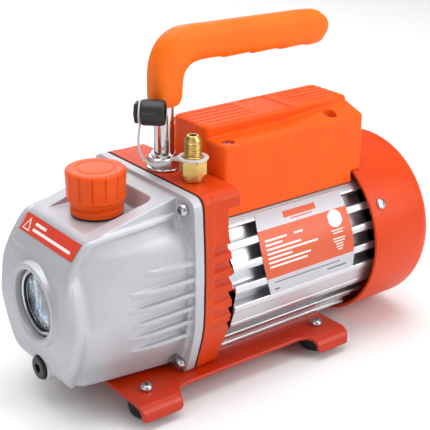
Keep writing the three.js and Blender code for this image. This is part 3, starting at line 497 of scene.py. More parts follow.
def flange_corners(inset=0):
    return mirrored([(46 - inset, FLANGE_BOTTOM, 2), (56 - inset, 56, 12),
                     (57 - inset, 100, 14), (54.5 - inset, BODY_TOP, 8)])


FLANGE_SCREWS = [("upper_left", -46, 135.5), ("upper_right", 46, 135.5),
                 ("lower_left", -41.8, 30.6), ("lower_right", 41.8, 30.6)]


def tank_fins():
    """Wedges down each side. TANK_FINS has their height, point and the tank's half width there."""
    turn = Matrix.Rotation(math.radians(TANK_FIN_SLOPE), 4, "Y")
    fins = []
    for side in (-1, 1):
        for z, tip, half in TANK_FINS:
            plan = [(FLANGE_FRONT + 1, side * 38), (FLANGE_FRONT + 1, side * (half + 4.2)),
                    (tip + 12, side * (half + 0.2), 8), (tip, side * (half - 4.8)),
                    (tip, side * 38)]
            fins.append(moved(prism(plan, "Z", -1.35, 1.35),
                              Matrix.Translation((0, 0, z)) @ turn))
    return fins


def tank_rims():
    """The raised lip round the front, which runs on along the top edges to the flange."""
    paths = [[(x, side * y, z) for x, y, z in RIM_PATH] for side in (-1, 1)]
    return [swept(smooth_path(path, 5), circle(2.3)) for path in paths]


def make_tank():
    stations = [(-88, 6), (-87, 3.6), (-86, 2.2), (-84.5, 0.9), (-82.5, 0.3), (-80, 0.3),
                (-78, 1), (-76, 2), (-73.5, 2), (-70, 1.2), (-62, 0.6), (-50, 0.2), (-30, 0),
                (-6.5, 0)]
    side_view = [(FLANGE_FRONT + 1, 29), (-72.5, 29, 3), (-74.5, 30.8, 1), (-76.5, 30.6, 1),
                 (-79, 30.4, 2), (-84.4, 37, 5), (-87, 78, 18), (-83.8, 104.2, 5),
                 (-80.6, 109.4, 3), (-67.4, 125.6, 4), (FLANGE_FRONT + 1, 141)]
    outer = common(loft([tank_ring(x, inset) for x, inset in stations]),
                   prism(side_view, "Y", -60, 60))
    hollow_view = [(5, 33), (-68, 33, 6), (-80, 40, 5), (-83, 78, 10), (-79.4, 102, 6),
                   (-71, 114), (-64, 118), (5, 118)]
    hollow = common(loft([tank_ring(x, 5.2) for x in (-84, -40, 5)]),
                    prism(hollow_view, "Y", -60, 60))
    collar = prism(mirrored([(43, 30, 6), (52.4, 58, 12), (52.8, 121, 12), (40.5, 126, 2),
                             (39.5, 131, 1)]), "X", -10, -6, 0.6)
    flange = prism(flange_corners(), "X", FLANGE_FRONT, FLANGE_REAR, 0.5)
    window_boss = turned([(0, -70), (26.4, -70), (26.4, -87.2, 1.2), (25.4, -88.6, 1),
                          (23.2, -88.4, 1.4), (21.5, -87.2), (0, -87.2)], "X", (0, 0, WINDOW_Z))
    drain_boss = turned(rod(9.6, -84.2, -71, 1), "X", (0, 0, DRAIN_Z))
    shell = join(outer, *tank_fins(), *tank_rims(), collar, flange, window_boss, drain_boss)
    window_back = turned(rod(26.4, -80, -75.5), "X", (0, 0, WINDOW_Z))
    shell = join(cut(shell, hollow), window_back)
    pocket = loft([[(x, y, z) for x, y in rounded([(front, -half, 3), (rear, -half, 6),
                                                   (rear, half, 6), (front, half, 3)])]
                   for z, front, rear, half in ((126.5, -72, -19, 23.5), (146, -76, -14.5, 28.5))])
    bores = [
        turned(rod(21.5, -95, -78.3), "X", (0, 0, WINDOW_Z)),
        turned(rod(16, -80, -70), "X", (0, 0, WINDOW_Z)),
        turned([(0, -92), (8, -92), (8, -81.8), (4.4, -81.8), (4.4, -70), (0, -70)], "X",
               (0, 0, DRAIN_Z)),
        turned(rod(9, 110, 135), "Z", (FILL_X, 0, 0)),
        *(turned(rod(2.4, -9, 1), "X", (0, y, z), 24) for _, y, z in FLANGE_SCREWS),
        *(turned(rod(6.4, -14, -7.7), "X", (0, y, z), 32) for _, y, z in FLANGE_SCREWS),
    ]
    tank = cut(shell, pocket, *bores)
    place(cast(tank, 0.55, 2, 0.16), "oil_tank_casting", "cast_aluminium", ["oil_tank"],
          crease=60)


def make_tank_gasket():
    opening = mirrored([(35, 34, 3), (45.6, 70, 10), (46.4, 98, 8), (44, 118, 4)])
    holes = [turned(rod(2.4, -2, 1), "X", (0, y, z), 24) for _, y, z in FLANGE_SCREWS]
    sheet = prism(flange_corners(0.25), "X", -0.5, 0)
    gasket = cut(sheet, prism(opening, "X", -2, 2), *holes)
    place(gasket, "tank_gasket_sheet", "rubber", ["tank_gasket"])


# ---- Screws, all drawn along +Z with the underside of the head at 0 ----
def pan_screw(radius, height, shank_radius, shank, drive):
    dome = [(radius * math.cos(a) ** 0.55, height * (0.25 + 0.75 * math.sin(a)))
            for a in (math.pi / 2 * k / 8 for k in range(8))]
    head = turned([(0, -shank), (shank_radius, -shank, 0.3), (shank_radius, 0), (radius, 0, 0.2),
                   *dome, (0, height)], segments=40)
    bottom = height * 0.35
    if drive == "hex":
        return cut(head, turned(rod(radius * 0.52, bottom, height + 1), segments=6))
    half, reach = radius * 0.13, radius * 0.56
    bars = [block(-reach, reach, -half, half, bottom, height + 1),
            block(-half, half, -reach, reach, bottom, height + 1)]
    return cut(head, *bars)


def fit_screw(name, where, *size):
    place(moved(pan_screw(*size), where), f"{name}_steel", "screw_steel", [name])


def make_screws():
    up, forward = (0, 0, 1), (-1, 0, 0)
    for name, (x, y) in FOOT_PLACES.items():
        fit_screw(f"foot_screw_{name}", towards(up, (x, y, 25.3), 25 + x), 4, 3.6, 1.8, 11.3,
                  "cross")
    for name, y, z in FLANGE_SCREWS:
        fit_screw(f"tank_screw_{name}", towards(forward, (-7.8, y, z), z), 4, 4, 1.9, 20, "hex")
    for i, angle in enumerate(COVER_SCREW_ANGLES):
        where = about_shaft(angle) @ towards((0, 1, 0), (150, 62.3, 0), 20)
        fit_screw(f"fan_cover_screw_{i + 1}", where, 3.6, 1.3, 1.8, 13, "cross")
    for (x, y), end in zip(BOX_SCREWS, ("front", "rear")):
        for side, sign in (("left", -1), ("right", 1)):
            fit_screw(f"box_screw_{end}_{side}", towards(up, (x, sign * y, 160.5), 30),
                      3.6, 2.5, 1.6, 36, "cross")


# ---- Sight glass, drain plug, fill cap ----
def make_window():
    at = (0, 0, WINDOW_Z)
    lens = turned([(0, -81.3), (18, -80.9, 1), (20.6, -80.9, 0.3), (20.6, -78.6, 0.3),
                   (0, -78.6)], "X", at, 96)
    # The lens's colour is painted reflections over painted shade for the tank's inside.
    place(lens, "sight_glass_lens", "sight_glass_painted_reflections", ["sight_glass"], slot=None)
    seal = turned(tube(17, 20.4, -82.5, -81.4, 0.5), "X", at, 96, closed=True)
    place(seal, "sight_glass_seal", "rubber", ["sight_glass_o_ring"])
    ring = turned([(18.3, -82.9), (20.9, -82.9, 0.2), (20.9, -83.9, 0.3), (19.4, -83.9, 0.3),
                   (18.3, -83.3)], "X", at, 96, closed=True)
    place(ring, "sight_glass_clamp", "chrome", ["sight_glass_ring"])
    bezel = turned(tube(16.6, 17.4, -81.9, -81.35, 0.15), "X", at, 96, closed=True)
    place(bezel, "sight_glass_bezel", "chrome")


def make_drain():
    at = (0, 0, DRAIN_Z)
    plug = turned([(0, -71), (3.9, -71, 0.5), (3.9, -83), (7.3, -83, 0.3), (7.3, -86.4, 0.9),
                   (4.6, -86.4, 0.6), (0, -86.4)], "X", at)
    socket = turned(rod(3.3, -90, -83.4), "X", at, 6)
    place(cut(plug, socket), "drain_plug_head", "black_plastic", ["drain_plug"], "drain_plug")
    seal = turned(tube(4.3, 7.2, -82.75, -82.05, 0.3), "X", at, closed=True)
    place(seal, "drain_seal", "rubber", ["drain_o_ring"], "drain_ring")


CAP_FLATS = 14


def cap_flutes(radius, height, angle):
    """Wide flats with narrow grooves between them, fading out at the rims of the head."""
    fade = smoothstep((height - 137.2) / 2.4) * smoothstep((154.9 - height) / 1.6)
    if radius < 16 or fade == 0:
        return radius
    turn = (angle * CAP_FLATS / (2 * math.pi)) % 1 - 0.5
    flat = math.cos(math.pi / CAP_FLATS) / math.cos(turn * 2 * math.pi / CAP_FLATS)
    groove = 1.1 * smoothstep((abs(turn) - 0.4) / 0.07)
    return radius * (1 + fade * (flat - 1) * 0.7) - fade * groove


def make_fill_cap():
    rise = [(18.1 + 0.035 * k, 138 + k) for k in range(15)]
    profile = [(0, 117), (8.2, 117, 0.5), (8.2, 127.9), (16.3, 127.9, 0.6), (16.3, 131.6, 0.5),
               (15, 132.3, 0.4), (15, 133.2, 0.4), (16.5, 134, 0.5), (16.7, 136.6, 0.5),
               (18, 137.3, 0.4), *rise, (18.6, 153.4), (18.4, 154.3), (17.8, 155.1),
               (16.8, 155.6, 0.3), (12.4, 155.6, 0.2), (12.1, 155.2, 0.2), (10.9, 155.2, 0.2),
               (10.6, 155.6, 0.2), (0, 155.6)]
    cap = turned(profile, "Z", (FILL_X, 0, 0), CAP_FLATS * 16, swell=cap_flutes)
    place(cap, "fill_cap_moulding", "cap_plastic", ["fill_cap"], "fill_cap")
    seal = turned(tube(8.6, 15.8, 126.75, 127.65, 0.35), "Z", (FILL_X, 0, 0), closed=True)
    place(seal, "fill_cap_seal", "rubber", ["fill_cap_gasket"], "fill_gasket")


# ---- Pump body ----
def louvre(z, side):
    """A pocket that is deep under the rib above it and runs out to nothing at its foot."""
    height = 5.8
    edge = 46 + 10 * min(max((z + 3 - 25) / 31, 0), 1)
    foot, top = side * (edge - 0.6), side * (edge - 4.6)
    outline = [(side * (edge + 6), z - 0.4), (foot, z), (side * (edge - 2.8), z + 2, 1),
               (top, z + height, 0.6), (side * (edge + 6), z + height + 0.5)]
    return prism(outline, "X", 6.8, 30)


def make_pump_body():
    rear = [(6, 24), (17.4, 24), (17.4, 34, 2), (20, 46, 8), (22, 74, 20), (20.8, 104, 10),
            (18.6, 116, 4), (18.6, 132.5, 1), (27.8, 132.5, 0.5), (27.8, BODY_TOP + 1),
            (6, BODY_TOP + 1)]
    band = prism(flange_corners(), "X", 0.3, 7.2, 0.5)
    sides = common(prism(flange_corners(0.6), "X", 6, 28, 0.6), prism(rear, "Y", -60, 60))
    sides = cut(sides, on_shaft(50.4, 22.6, 40))
    neck = turned(rod(33, -11.7, 2), "X", (0, 0, 71.5))
    casting = join(band, sides, neck)
    pockets = [louvre(LOUVRE_LOWEST + LOUVRE_PITCH * k, side) for k in range(LOUVRE_COUNT)
               for side in (-1, 1)]
    holes = [
        on_shaft(8, -20, 30),
        on_shaft(13.3, 1, 30),
        on_shaft(18.2, 8, 30),
        turned(rod(6.5, 128, 150), "Z", (*POST, 0)),
        turned(rod(4.5, 130, 150), "Z", (*FITTING, 0), 32),
        turned(rod(3, 87, 135), "Z", (*FITTING, 0), 32),
        turned(rod(3, -15, 13), "X", (0, FITTING[1], 90), 32),
        *(turned(rod(2.3, -1, 14), "X", (0, y, z), 24) for _, y, z in FLANGE_SCREWS),
    ]
    place(cast(cut(casting, *pockets, *holes), 0.55, 2, 0.22), "pump_body_casting", "body_paint",
          ["pump_body"], crease=60)


# ---- Base plate and feet ----
def make_base_plate():
    front, rear, waist_front, waist_rear, wing_bottom = -52.7, 115.5, -23, 88, 14.5

    def channel(inset):
        return mirrored([(PLATE_HALF - inset, 0), (PLATE_HALF - inset, 25 - inset, 10 - inset)])

    def side_plan(side):
        wide, narrow = side * PLATE_HALF, side * WAIST_HALF
        return [(front, wide, 4), (waist_front, wide, 0.1), (waist_front, narrow, 10.8),
                (waist_rear, narrow, 10.8), (waist_rear, wide, 0.1), (rear, wide, 4)]
    section = [*channel(0), *reversed(channel(2.5))]
    plan = [*side_plan(-1), *reversed(side_plan(1))]
    side_view = [(front - 1, 30), (front, wing_bottom, 4), (waist_front, wing_bottom, 4),
                 (waist_front, 20, 1), (waist_rear, 20, 1), (waist_rear, wing_bottom, 4),
                 (rear, wing_bottom, 4), (rear + 1, 30)]
    plate = common(prism(section, "X", front, rear, steps=10), prism(plan, "Z", 0, 30, steps=8),
                   prism(side_view, "Y", -70, 70, steps=8))
    holes = [turned(rod(2.2, 20, 30), "Z", (*spot, 0), 24) for spot in FOOT_PLACES.values()]
    place(cast(cut(plate, *holes), 0.6, 2, 0.18), "base_plate_pressing", "plate_paint",
          ["base_plate"], crease=60)


def make_feet():
    profile = [(0, 13), (2.1, 13), (2.1, 22.1), (8, 22.1, 0.6), (12, 20.5, 1), (11.6, 15, 1),
               (10.6, 10.6, 1.5), (8.6, FLOOR_Z, 0.8), (0, FLOOR_Z)]
    for name, spot in FOOT_PLACES.items():
        foot = turned(profile, "Z", (*spot, 0), 48)
        place(foot, f"foot_{name}_rubber", "rubber", [f"foot_{name}"])


# ---- Motor ----
def make_motor_housing():
    fin = [(48.4, -0.95, 0.5), (54.5, -0.95, 0.3), (54.1, -2.5, 0.35), (55.5, -2.6, 0.4),
           (55.95, -2, 0.4), (56, 0), (55.95, 2, 0.4), (55.5, 2.6, 0.4), (54.1, 2.5, 0.35),
           (54.5, 0.95, 0.3), (48.4, 0.95, 0.5)]
    corners = []
    for k in range(FIN_COUNT):
        angle = math.radians(FIN_PHASE + k * 360 / FIN_COUNT)
        turn = Matrix.Rotation(angle, 2)
        corners += [(*(turn @ Vector(corner[:2])), *corner[2:]) for corner in fin]
        between = angle + math.radians(180 / FIN_COUNT)
        corners.append((48 * math.cos(between), 48 * math.sin(between)))
    fins = moved(prism(corners, "X", 24, 146, steps=2), Matrix.Translation((0, 0, SHAFT_Z)))
    collar = on_shaft(48, 23.3, 29, 96, 0.5)
    bridges = [moved(block(24, 146, 53.2, 55.4, -7.4, 7.4), about_shaft(angle))
               for angle in FIN_BRIDGES]
    rails = [prism([(side * 18, 25), (side * 33.8, 25, 0.5), (side * 33.8, 27.2, 0.5),
                    (side * 32.4, 27.8, 0.3), (side * 41, 35, 1), (side * 37.5, 38.5, 1),
                    (side * 22, 31)], "X", 24, 139.5) for side in (-1, 1)]
    bore = on_shaft(44, 20, 150, 96)
    below = block(0, 200, -60, 60, 0, 25.3)
    wires = turned(rod(6, 110, 140), "Z", (60, 0, 0), 32)
    housing = cut(join(fins, collar, *bridges, *rails), bore, below, wires)
    place(housing, "motor_housing_extrusion", "motor_aluminium", ["motor_housing"],
          crease=30)


def make_fan_cover():
    outer, inner = [], []
    for k in range(13):
        angle = math.pi / 2 * k / 12
        along, across = math.sin(angle), 1 - math.cos(angle)
        outer.append((COVER_RADIUS - 13.4 * across, COVER_REAR - 12.8 + 12.8 * along))
        inner.append((COVER_RADIUS - 2 - 13.4 * across, COVER_REAR - 12.8 + 10.8 * along))
    profile = [(0, COVER_REAR - 2), *reversed(inner), (COVER_RADIUS - 2, COVER_FRONT, 0.5),
               (COVER_RADIUS, COVER_FRONT, 0.5), *outer, (0, COVER_REAR)]
    cover = turned(profile, "X", (0, 0, SHAFT_Z), 128)
    slots = []
    for low, high, count in ((12, 25, 8), (30, 45, 12)):
        for k in range(count):
            slot = prism(rectangle(-2, 2, low, high, 1.96), "X", 185, 200)
            slots.append(moved(slot, about_shaft(360 * (k + 0.5) / count)))
    for angle in COVER_SCREW_ANGLES:
        hole = turned(rod(2.2, 55, 65), "Y", (150, 0, 0), 24)
        slots.append(moved(hole, about_shaft(angle)))
    place(cut(cover, *slots), "fan_cover_pressing", "cover_paint", ["fan_cover"],
          slot="body_paint")


# ---- Terminal box ----
def rounded_ring(x0, x1, half, radius, z):
    corners = [(x1, -half, radius), (x1, half, radius), (x0, half, radius), (x0, -half, radius)]
    return [(u, v, z) for u, v in rounded(corners, steps=6)]


def box_solid(wall):
    def shell(half, front, top, rear_inset_at_top):
        rings = []
        for z in (105, top - 12, *(top - 2.2 * (1 - k / 6) for k in range(7))):
            rise = max(0, (z - (top - 2.2)) / 2.2)
            round_off = 1 - math.sqrt(max(0, 1 - rise ** 2))
            slant = 1.6 * max(0, (top - 12 - z) / 50)
            inset = 2 * round_off - slant + wall
            rear = BOX_REAR - rear_inset_at_top * round_off - wall
            rings.append(rounded_ring(front + inset, rear, half - inset, 4.6, z - wall))
        return loft(rings)
    return join(shell(34.5, BOX_FRONT, LEDGE_TOP, 2.2), shell(17.5, BOX_FRONT - 1.6, BOX_TOP, 3))


def ledge_rise(side):
    """The ledge climbs towards the rear, most beside the spine and not at all at its edge."""
    def section(x, rise):
        return [(x, side * 16.5, 161.5), (x, side * 32.6, 161.5), (x, side * 32.6, LEDGE_TOP - 0.3),
                (x, side * 16.5, LEDGE_TOP - 0.3 + rise)]
    return loft([section(85, 0), section(BOX_REAR - 1.6, 5.6)])


def top_grooves():
    return [prism(rectangle(start, end, y - 0.95, y + 0.95, 0.9), "Z", BOX_TOP - 1.5, BOX_TOP + 2)
            for y in (-11.4, -5.7, 0, 5.7, 11.4) for start, end in ((20, 73), (107, 155))]


def make_terminal_box():
    panel = prism(rectangle(52, 116, 130, 157, 2), "Y", 30, PANEL_Y, 0.5)
    rises = [ledge_rise(side) for side in (-1, 1)]
    shell = cut(join(box_solid(0), panel, *rises), box_solid(2.5))
    spots = [(x, side * y, 0) for x, y in BOX_SCREWS for side in (-1, 1)]
    pillars = [turned(rod(6.2, 110, LEDGE_TOP - 1), "Z", spot, 40) for spot in spots]
    recess = [(0, 100), (1.9, 100), (1.9, 160.2), (4.6, 160.2), (4.6, 180), (0, 180)]
    recesses = [turned(recess, "Z", spot, 40) for spot in spots]
    nameplate = block(79.5, 100, -14.5, 14.5, BOX_TOP - 0.7, BOX_TOP + 2)
    seam = block(99.4, 100.6, -19, 19, BOX_TOP - 1.1, BOX_TOP + 2)
    holes = [
        on_shaft(56.6, 0, 139, 128),
        on_shaft(62.6, 138.5, 200, 128),
        block(INLET_X - 13.6, INLET_X + 13.6, 30, 40, PANEL_Z - 10.1, PANEL_Z + 10.1),
        block(SWITCH_X - 6.6, SWITCH_X + 6.6, 30, 40, PANEL_Z - 9.7, PANEL_Z + 9.7),
    ]
    solid = cut(join(shell, *pillars), *recesses, nameplate, seam, *top_grooves(), *holes)
    place(cast(solid, 0.5, 2, 0.14), "terminal_box_moulding", "box_plastic",
          ["terminal_box_cover"], crease=60)


# ---- Power inlet and rocker switch, on the far side ----
def make_panel_parts():
    def plate(x, half_x, half_z, radius, start, end, edge):
        return prism(rectangle(x - half_x, x + half_x, PANEL_Z - half_z, PANEL_Z + half_z, radius),
                     "Y", start, end, edge)
    flange = plate(INLET_X, 15.2, 11.8, 2, PANEL_Y + 0.3, PANEL_Y + 2.5, 0.5)
    body = plate(INLET_X, 13.2, 9.8, 1, 17, PANEL_Y + 1, 0.2)
    socket = prism([(INLET_X - 11.8, PANEL_Z - 8, 1.5), (INLET_X + 11.8, PANEL_Z - 8, 1.5),
                    (INLET_X + 11.8, PANEL_Z + 2, 1), (INLET_X + 6.5, PANEL_Z + 8, 1),
                    (INLET_X - 6.5, PANEL_Z + 8, 1), (INLET_X - 11.8, PANEL_Z + 2, 1)],
                   "Y", 22, 45)
    inlet = cut(join(flange, body), socket)
    place(inlet, "power_inlet_moulding", "black_plastic", ["power_inlet"])
    pins = [block(INLET_X + x - 1, INLET_X + x + 1, 20, PANEL_Y - 3, PANEL_Z + z - 2,
                  PANEL_Z + z + 2, 0.3) for x, z in ((-7, -2), (7, -2), (0, 2.5))]
    place(join(*pins), "power_inlet_pins", "screw_steel")
    rim = plate(SWITCH_X, 7.6, 10.6, 1.4, PANEL_Y + 0.3, PANEL_Y + 2.2, 0.6)
    body = plate(SWITCH_X, 6.3, 9.4, 0.6, 24, PANEL_Y + 1, 0.2)
    window = plate(SWITCH_X, 5.3, 8.4, 0.5, 28, 45, 0)
    place(cut(join(rim, body), window), "switch_frame_moulding", "black_plastic",
          ["switch_frame"])
    outline = [(-4.5, 0, 1), (-1, -7.6, 1), (5, -7.6, 1), (3.6, 0, 3), (5, 7.6, 1), (-1, 7.6, 1)]
    rocker = prism(outline, "X", -4.9, 4.9, 0.5)
    moved(rocker, Matrix.Translation((SWITCH_X, PANEL_Y - 2, PANEL_Z))
          @ Matrix.Rotation(math.radians(7), 4, "X"))
    place(rocker, "switch_rocker_moulding", "rocker_plastic", ["switch_rocker"], "rocker")


# ---- Handle ----
def finger_drop(x):
    """The underside drops sharply behind each notch and rises slowly to the next one."""
    if x < 50 or x > 138:
        return 0
    phase = ((x - 54) / 23.2) % 1
    return 1.25 * smoothstep(phase / 0.12) * (1 - phase)


def grip_sections():
    leg = [((4.6, 184), (19.4, 184), 0.84), ((3.4, 184.4), (21.2, 184.4), 0.92),
           ((2.7, 186), (22.8, 186), 0.97), ((2.2, 189), (24, 189), 1), ((2, 198), (24.8, 197), 1),
           ((2.4, 207.4), (26, 202.4), 1), ((4.6, 216.2), (28.6, 205.6), 1),
           ((9.5, 224.2), (31.4, 207.4), 1), ((17, 229.4), (35, 208.4), 1),
           ((26.5, 231.5), (41, 208.9), 1)]
    arm = [((x - 1.5, 231.6 - 0.022 * (x - 26)), (x + 1, 208.9 - 0.034 * (x - 47)), 1)
           for x in range(50, 126, 8)]
    tip = [((133, 228.4), (135, 206.4), 0.98), ((137.5, 226.2), (138.6, 208), 0.91),
           ((141, 223.6), (141.5, 210.8), 0.76), ((143, 221), (143.2, 213.6), 0.56),
           ((143.8, 218.6), (143.9, 215.6), 0.3)]
    keys = [Vector((*outer, *inner, depth)[:4]) for outer, inner, depth in leg + arm + tip]
    depths = [Vector((depth, 0)) for _, _, depth in leg + arm + tip]
    return zip(smooth_path(keys, 5), (d.x for d in smooth_path(depths, 5)))


def grip_ring(ends, depth):
    x0, z0, x1, z1 = ends
    z1 -= finger_drop(x1)
    ring = []
    for k in range(64):
        angle = 2 * math.pi * k / 64
        cosine, sine = math.cos(angle), math.sin(angle)
        power = 0.72 if cosine < 0 else 0.82
        across = 0.5 + 0.5 * math.copysign(abs(cosine) ** power, cosine)
        reach = math.copysign(abs(sine) ** power, sine)
        if cosine < -0.6 and 34 < x0 < 118 and 0.42 < abs(reach) < 0.56:
            across += 0.014
        ring.append((x0 + (x1 - x0) * across, POST[1] + GRIP_HALF_DEPTH * depth * reach,
                     z0 + (z1 - z0) * across))
    return ring


def make_handle():
    rings = [grip_ring(ends, depth) for ends, depth in grip_sections()]
    socket = turned(rod(6.6, 180, 201.5), "Z", (*POST, 0), 48)
    place(cut(loft(rings), socket), "handle_grip_moulding", "grip_plastic", ["handle_grip"],
          crease=50)
    post = turned(rod(6.2, 129, 201, 0.8), "Z", (*POST, 0), 96)
    place(post, "handle_post_bar", "chrome", ["handle_post"])
    top, at = BODY_TOP, (*POST, 0)
    hexagon = turned(rod(11, top + 2, top + 8.4), "Z", at, 6, phase=math.radians(18))
    chamfer = turned([(0, top + 1), (9.4, top + 1.4), (11.2, top + 3), (11.2, top + 6.8),
                      (9.2, top + 8.4, 0.3), (0, top + 8.4)], "Z", at, 96)
    collar = turned([(0, top + 0.3), (11, top + 0.3, 0.3), (11, top + 1.6, 0.6), (8.4, top + 2.4),
                     (8.2, top + 10.4, 0.6), (0, top + 10.4)], "Z", at, 96)
    bore = turned(rod(6.6, 140, 160), "Z", at, 96)
    place(cut(join(common(hexagon, chamfer), collar), bore), "handle_nut_steel", "nut_steel",
          ["handle_nut"], slot="chrome", crease=25)


# ---- Brass inlet, strap and cap ----
THREAD_PITCH = 1.27


def thread(radius, height, angle):
    if not 160.4 < height < 168.4 or radius < 5:
        return radius
    turn = (height / THREAD_PITCH - angle / (2 * math.pi)) % 1
    return radius - 0.62 * abs(2 * turn - 1)


def make_inlet():
    threads = [(5.6, 160.4 + 0.2 * k) for k in range(41)]
    profile = [(0, 131), (4.1, 131), (4.1, 143.8), (6.9, 143.8, 0.3), (7, 147.4, 0.3),
               (6, 147.9), (6, 156.9), (5.9, 157.4), (5.9, 159.2, 0.2), (5, 159.8), (5, 160.3),
               *threads, (5, 168.6), (5, 169, 0.2), (5.3, 169.4, 0.2), (3.6, 172.3, 0.3),
               (0, 172.3)]
    at = (*FITTING, 0)
    turned_part = turned(profile, "Z", at, 72, swell=thread)
    hexagon = turned(rod(8.6, 147.8, 157), "Z", at, 6, phase=math.radians(10))
    chamfer = turned([(0, 147.8), (7.8, 147.8), (8.7, 148.6), (8.7, 156.2), (7.8, 157), (0, 157)],
                     "Z", at, 72)
    bore = turned(rod(2.5, 120, 180), "Z", at, 40)
    place(cut(join(turned_part, common(hexagon, chamfer)), bore), "inlet_fitting_brass", "brass",
          ["inlet_fitting"], crease=25)


STRAP_FRAME = (Matrix.Translation((*FITTING, 0))
               @ Matrix.Rotation(math.radians(CAP_ANGLE), 4, "Z"))


def make_strap():
    points = [(7.4, 158.1), (10.8, 157.3), (15.4, 154.2), (21, 152.2), (26.6, 153), (31, 157),
              (32.9, 163), (33.1, 169), (32.4, 175.5), (NECK_X, 179)]
    path = smooth_path([(x, 0, z) for x, z in points], 6)
    strap = swept(path, rounded(rectangle(-0.6, 0.6, -1.6, 1.6, 0.5)))
    web = prism([(6.5, -5.5, 1), (13.5, -1.2, 1), (13.5, 1.2, 1), (6.5, 5.5, 1)], "Z", -0.6, 0.6)
    moved(web, Matrix.Translation((0, 0, 158.1)) @ Matrix.Rotation(math.radians(6), 4, "Y"))
    fitting_ring = turned(tube(6.4, 9.7, 157.45, 158.85, 0.5), "Z", (0, 0, 0), 72, closed=True)
    cap_ring = turned(tube(5, 7.6, NECK_X - 0.65, NECK_X + 0.65, 0.5), "X", (0, 0, CAP_Z), 64,
                      closed=True)
    holes = [turned(rod(6.4, 150, 165), "Z", (0, 0, 0), 72),
             turned(rod(5, 28, 35), "X", (0, 0, CAP_Z), 64)]
    tether = cut(join(strap, web, fitting_ring, cap_ring), *holes)
    place(cast(moved(tether, STRAP_FRAME), 0.22, 2, 0.25), "cap_tether_strap", "strap_plastic",
          ["cap_tether"], "tether", crease=60)


def star(radius, height, angle):
    if height < NECK_X + 0.9 or radius < 5:
        return radius
    return radius - 0.9 * (0.5 - 0.5 * math.cos(6 * angle)) ** 0.6


def make_inlet_cap():
    profile = [(0, 34.6), (2.6, 34.6, 0.3), (3, 35.2, 0.3), (5.6, 35.2, 0.4),
               (7, 34.4, 0.5), (7, NECK_X + 1.1, 0.4), (4.6, NECK_X + 1), (4.6, NECK_X - 1),
               (7.6, NECK_X - 1, 0.4), (8, 29.4, 0.6), (8, 19.2, 0.4), (7.2, 16.6, 0.4),
               (5.8, 16.6, 0.3), (5.8, 27.2), (0, 27.2)]
    cap = turned(profile, "X", (0, 0, CAP_Z), 72, swell=star)
    place(moved(cap, STRAP_FRAME), "inlet_cap_moulding", "black_plastic", ["inlet_cap"],
          "inlet_cap")


# ---- Printed label and sticker ----
SHEET_THICKNESS = 0.2


def printed(name, across, along, surface, patches):
    """A thin sheet on surface(u, v, height), with a material for each patch (u0, u1, v0, v1, ink).
    Later patches lie over earlier ones."""
    def breaks(low, high, edges, step):
        marks = {low, high, *(e for e in edges if low < e < high)}
        count = max(1, round((high - low) / step))
        marks |= {low + (high - low) * k / count for k in range(count + 1)}
        kept = sorted(marks)
        return [a for a, b in zip(kept, [*kept[1:], math.inf]) if b - a > 1e-6]
    us = breaks(*across, [e for p in patches for e in p[:2]], 4)
    vs = breaks(*along, [e for p in patches for e in p[2:4]], 1.5)
    rows, columns = len(vs), len(us)
    verts = [surface(u, v, h) for h in (SHEET_THICKNESS, 0) for v in vs for u in us]
    inks = sorted({p[4] for p in patches})
    faces, chosen = [], []
    for j in range(rows - 1):
        for i in range(columns - 1):
            a = j * columns + i
            quad = (a, a + 1, a + columns + 1, a + columns)
            faces += [quad, tuple(rows * columns + k for k in reversed(quad))]
            u, v = (us[i] + us[i + 1]) / 2, (vs[j] + vs[j + 1]) / 2
            ink = [p[4] for p in patches if p[0] <= u <= p[1] and p[2] <= v <= p[3]][-1]
            chosen += [inks.index(ink), inks.index(patches[0][4])]
    rim = [*range(columns), *(j * columns + columns - 1 for j in range(1, rows)),
           *((rows - 1) * columns + i for i in range(columns - 2, -1, -1)),
           *(j * columns for j in range(rows - 2, 0, -1))]
    for k, a in enumerate(rim):
        b = rim[(k + 1) % len(rim)]
        faces.append((a, a + rows * columns, b + rows * columns, b))
        chosen.append(inks.index(patches[0][4]))
    mesh = bpy.data.meshes.new(name)
    mesh.from_pydata([tuple(v) for v in verts], [], faces)
    for ink in inks:
        mesh.materials.append(FINISHES[ink])
    mesh.polygons.foreach_set("material_index", chosen)
    facing_out(mesh)
    place(linked(name, mesh), name, None)


def make_label():
    """A label wrapped over the fins: bars stand for its lines of print, and a disc for a mark.
    Its front edge bows forward."""
    ends = (LABEL_FRONT, LABEL_REAR)
    patches = [(*ends, -7.6, 48, "label_silver"), (*ends, 4, 36.2, "label_orange"),
               (74, 101, 40.2, 44.6, "label_orange"), (79, 97, 38.3, 39.1, "label_orange")]
    for row, length in enumerate((17, 13, 27, 40, 19, 33, 30)):
        v = 29.6 - 2.9 * row
        patches.append((56, 56 + length, v - 1.3, v, "label_white"))
    patches.append((79, 86, 28.3, 29.6, "label_white"))
    for row, half in enumerate((5, 4, 0, 5, 4.5, 3, 3, 2)):
        v = 22.6 - 1.9 * row
        if half:
            patches.append((113 - half, 113 + half, v - 0.8, v, "label_white"))
    for k in range(-8, 9):
        reach = math.sqrt(81 - k * k)
        patches.append((113 + k * 0.65 - 0.33, 113 + k * 0.65 + 0.33, 30 - reach * 0.66,
                        30 + reach * 0.66, "label_white"))
    patches += [(57, 112, 0.2, 1, "label_grey"), (101, 118, -3.6, -2.5, "label_grey"),
                (56, 60, -5.2, -3.8, "label_grey")]

    def surface(u, v, height):
        angle = math.radians(v)
        radius = LABEL_RADIUS + height
        front = 52.8 - 5.6 * (1 - ((v - 20.4) / 28.2) ** 2)
        u = LABEL_REAR - (LABEL_REAR - u) * (LABEL_REAR - front) / (LABEL_REAR - LABEL_FRONT)
        return (u, -radius * math.cos(angle), SHAFT_Z + radius * math.sin(angle))
    printed("motor_label", ends, (-7.6, 48), surface, patches)


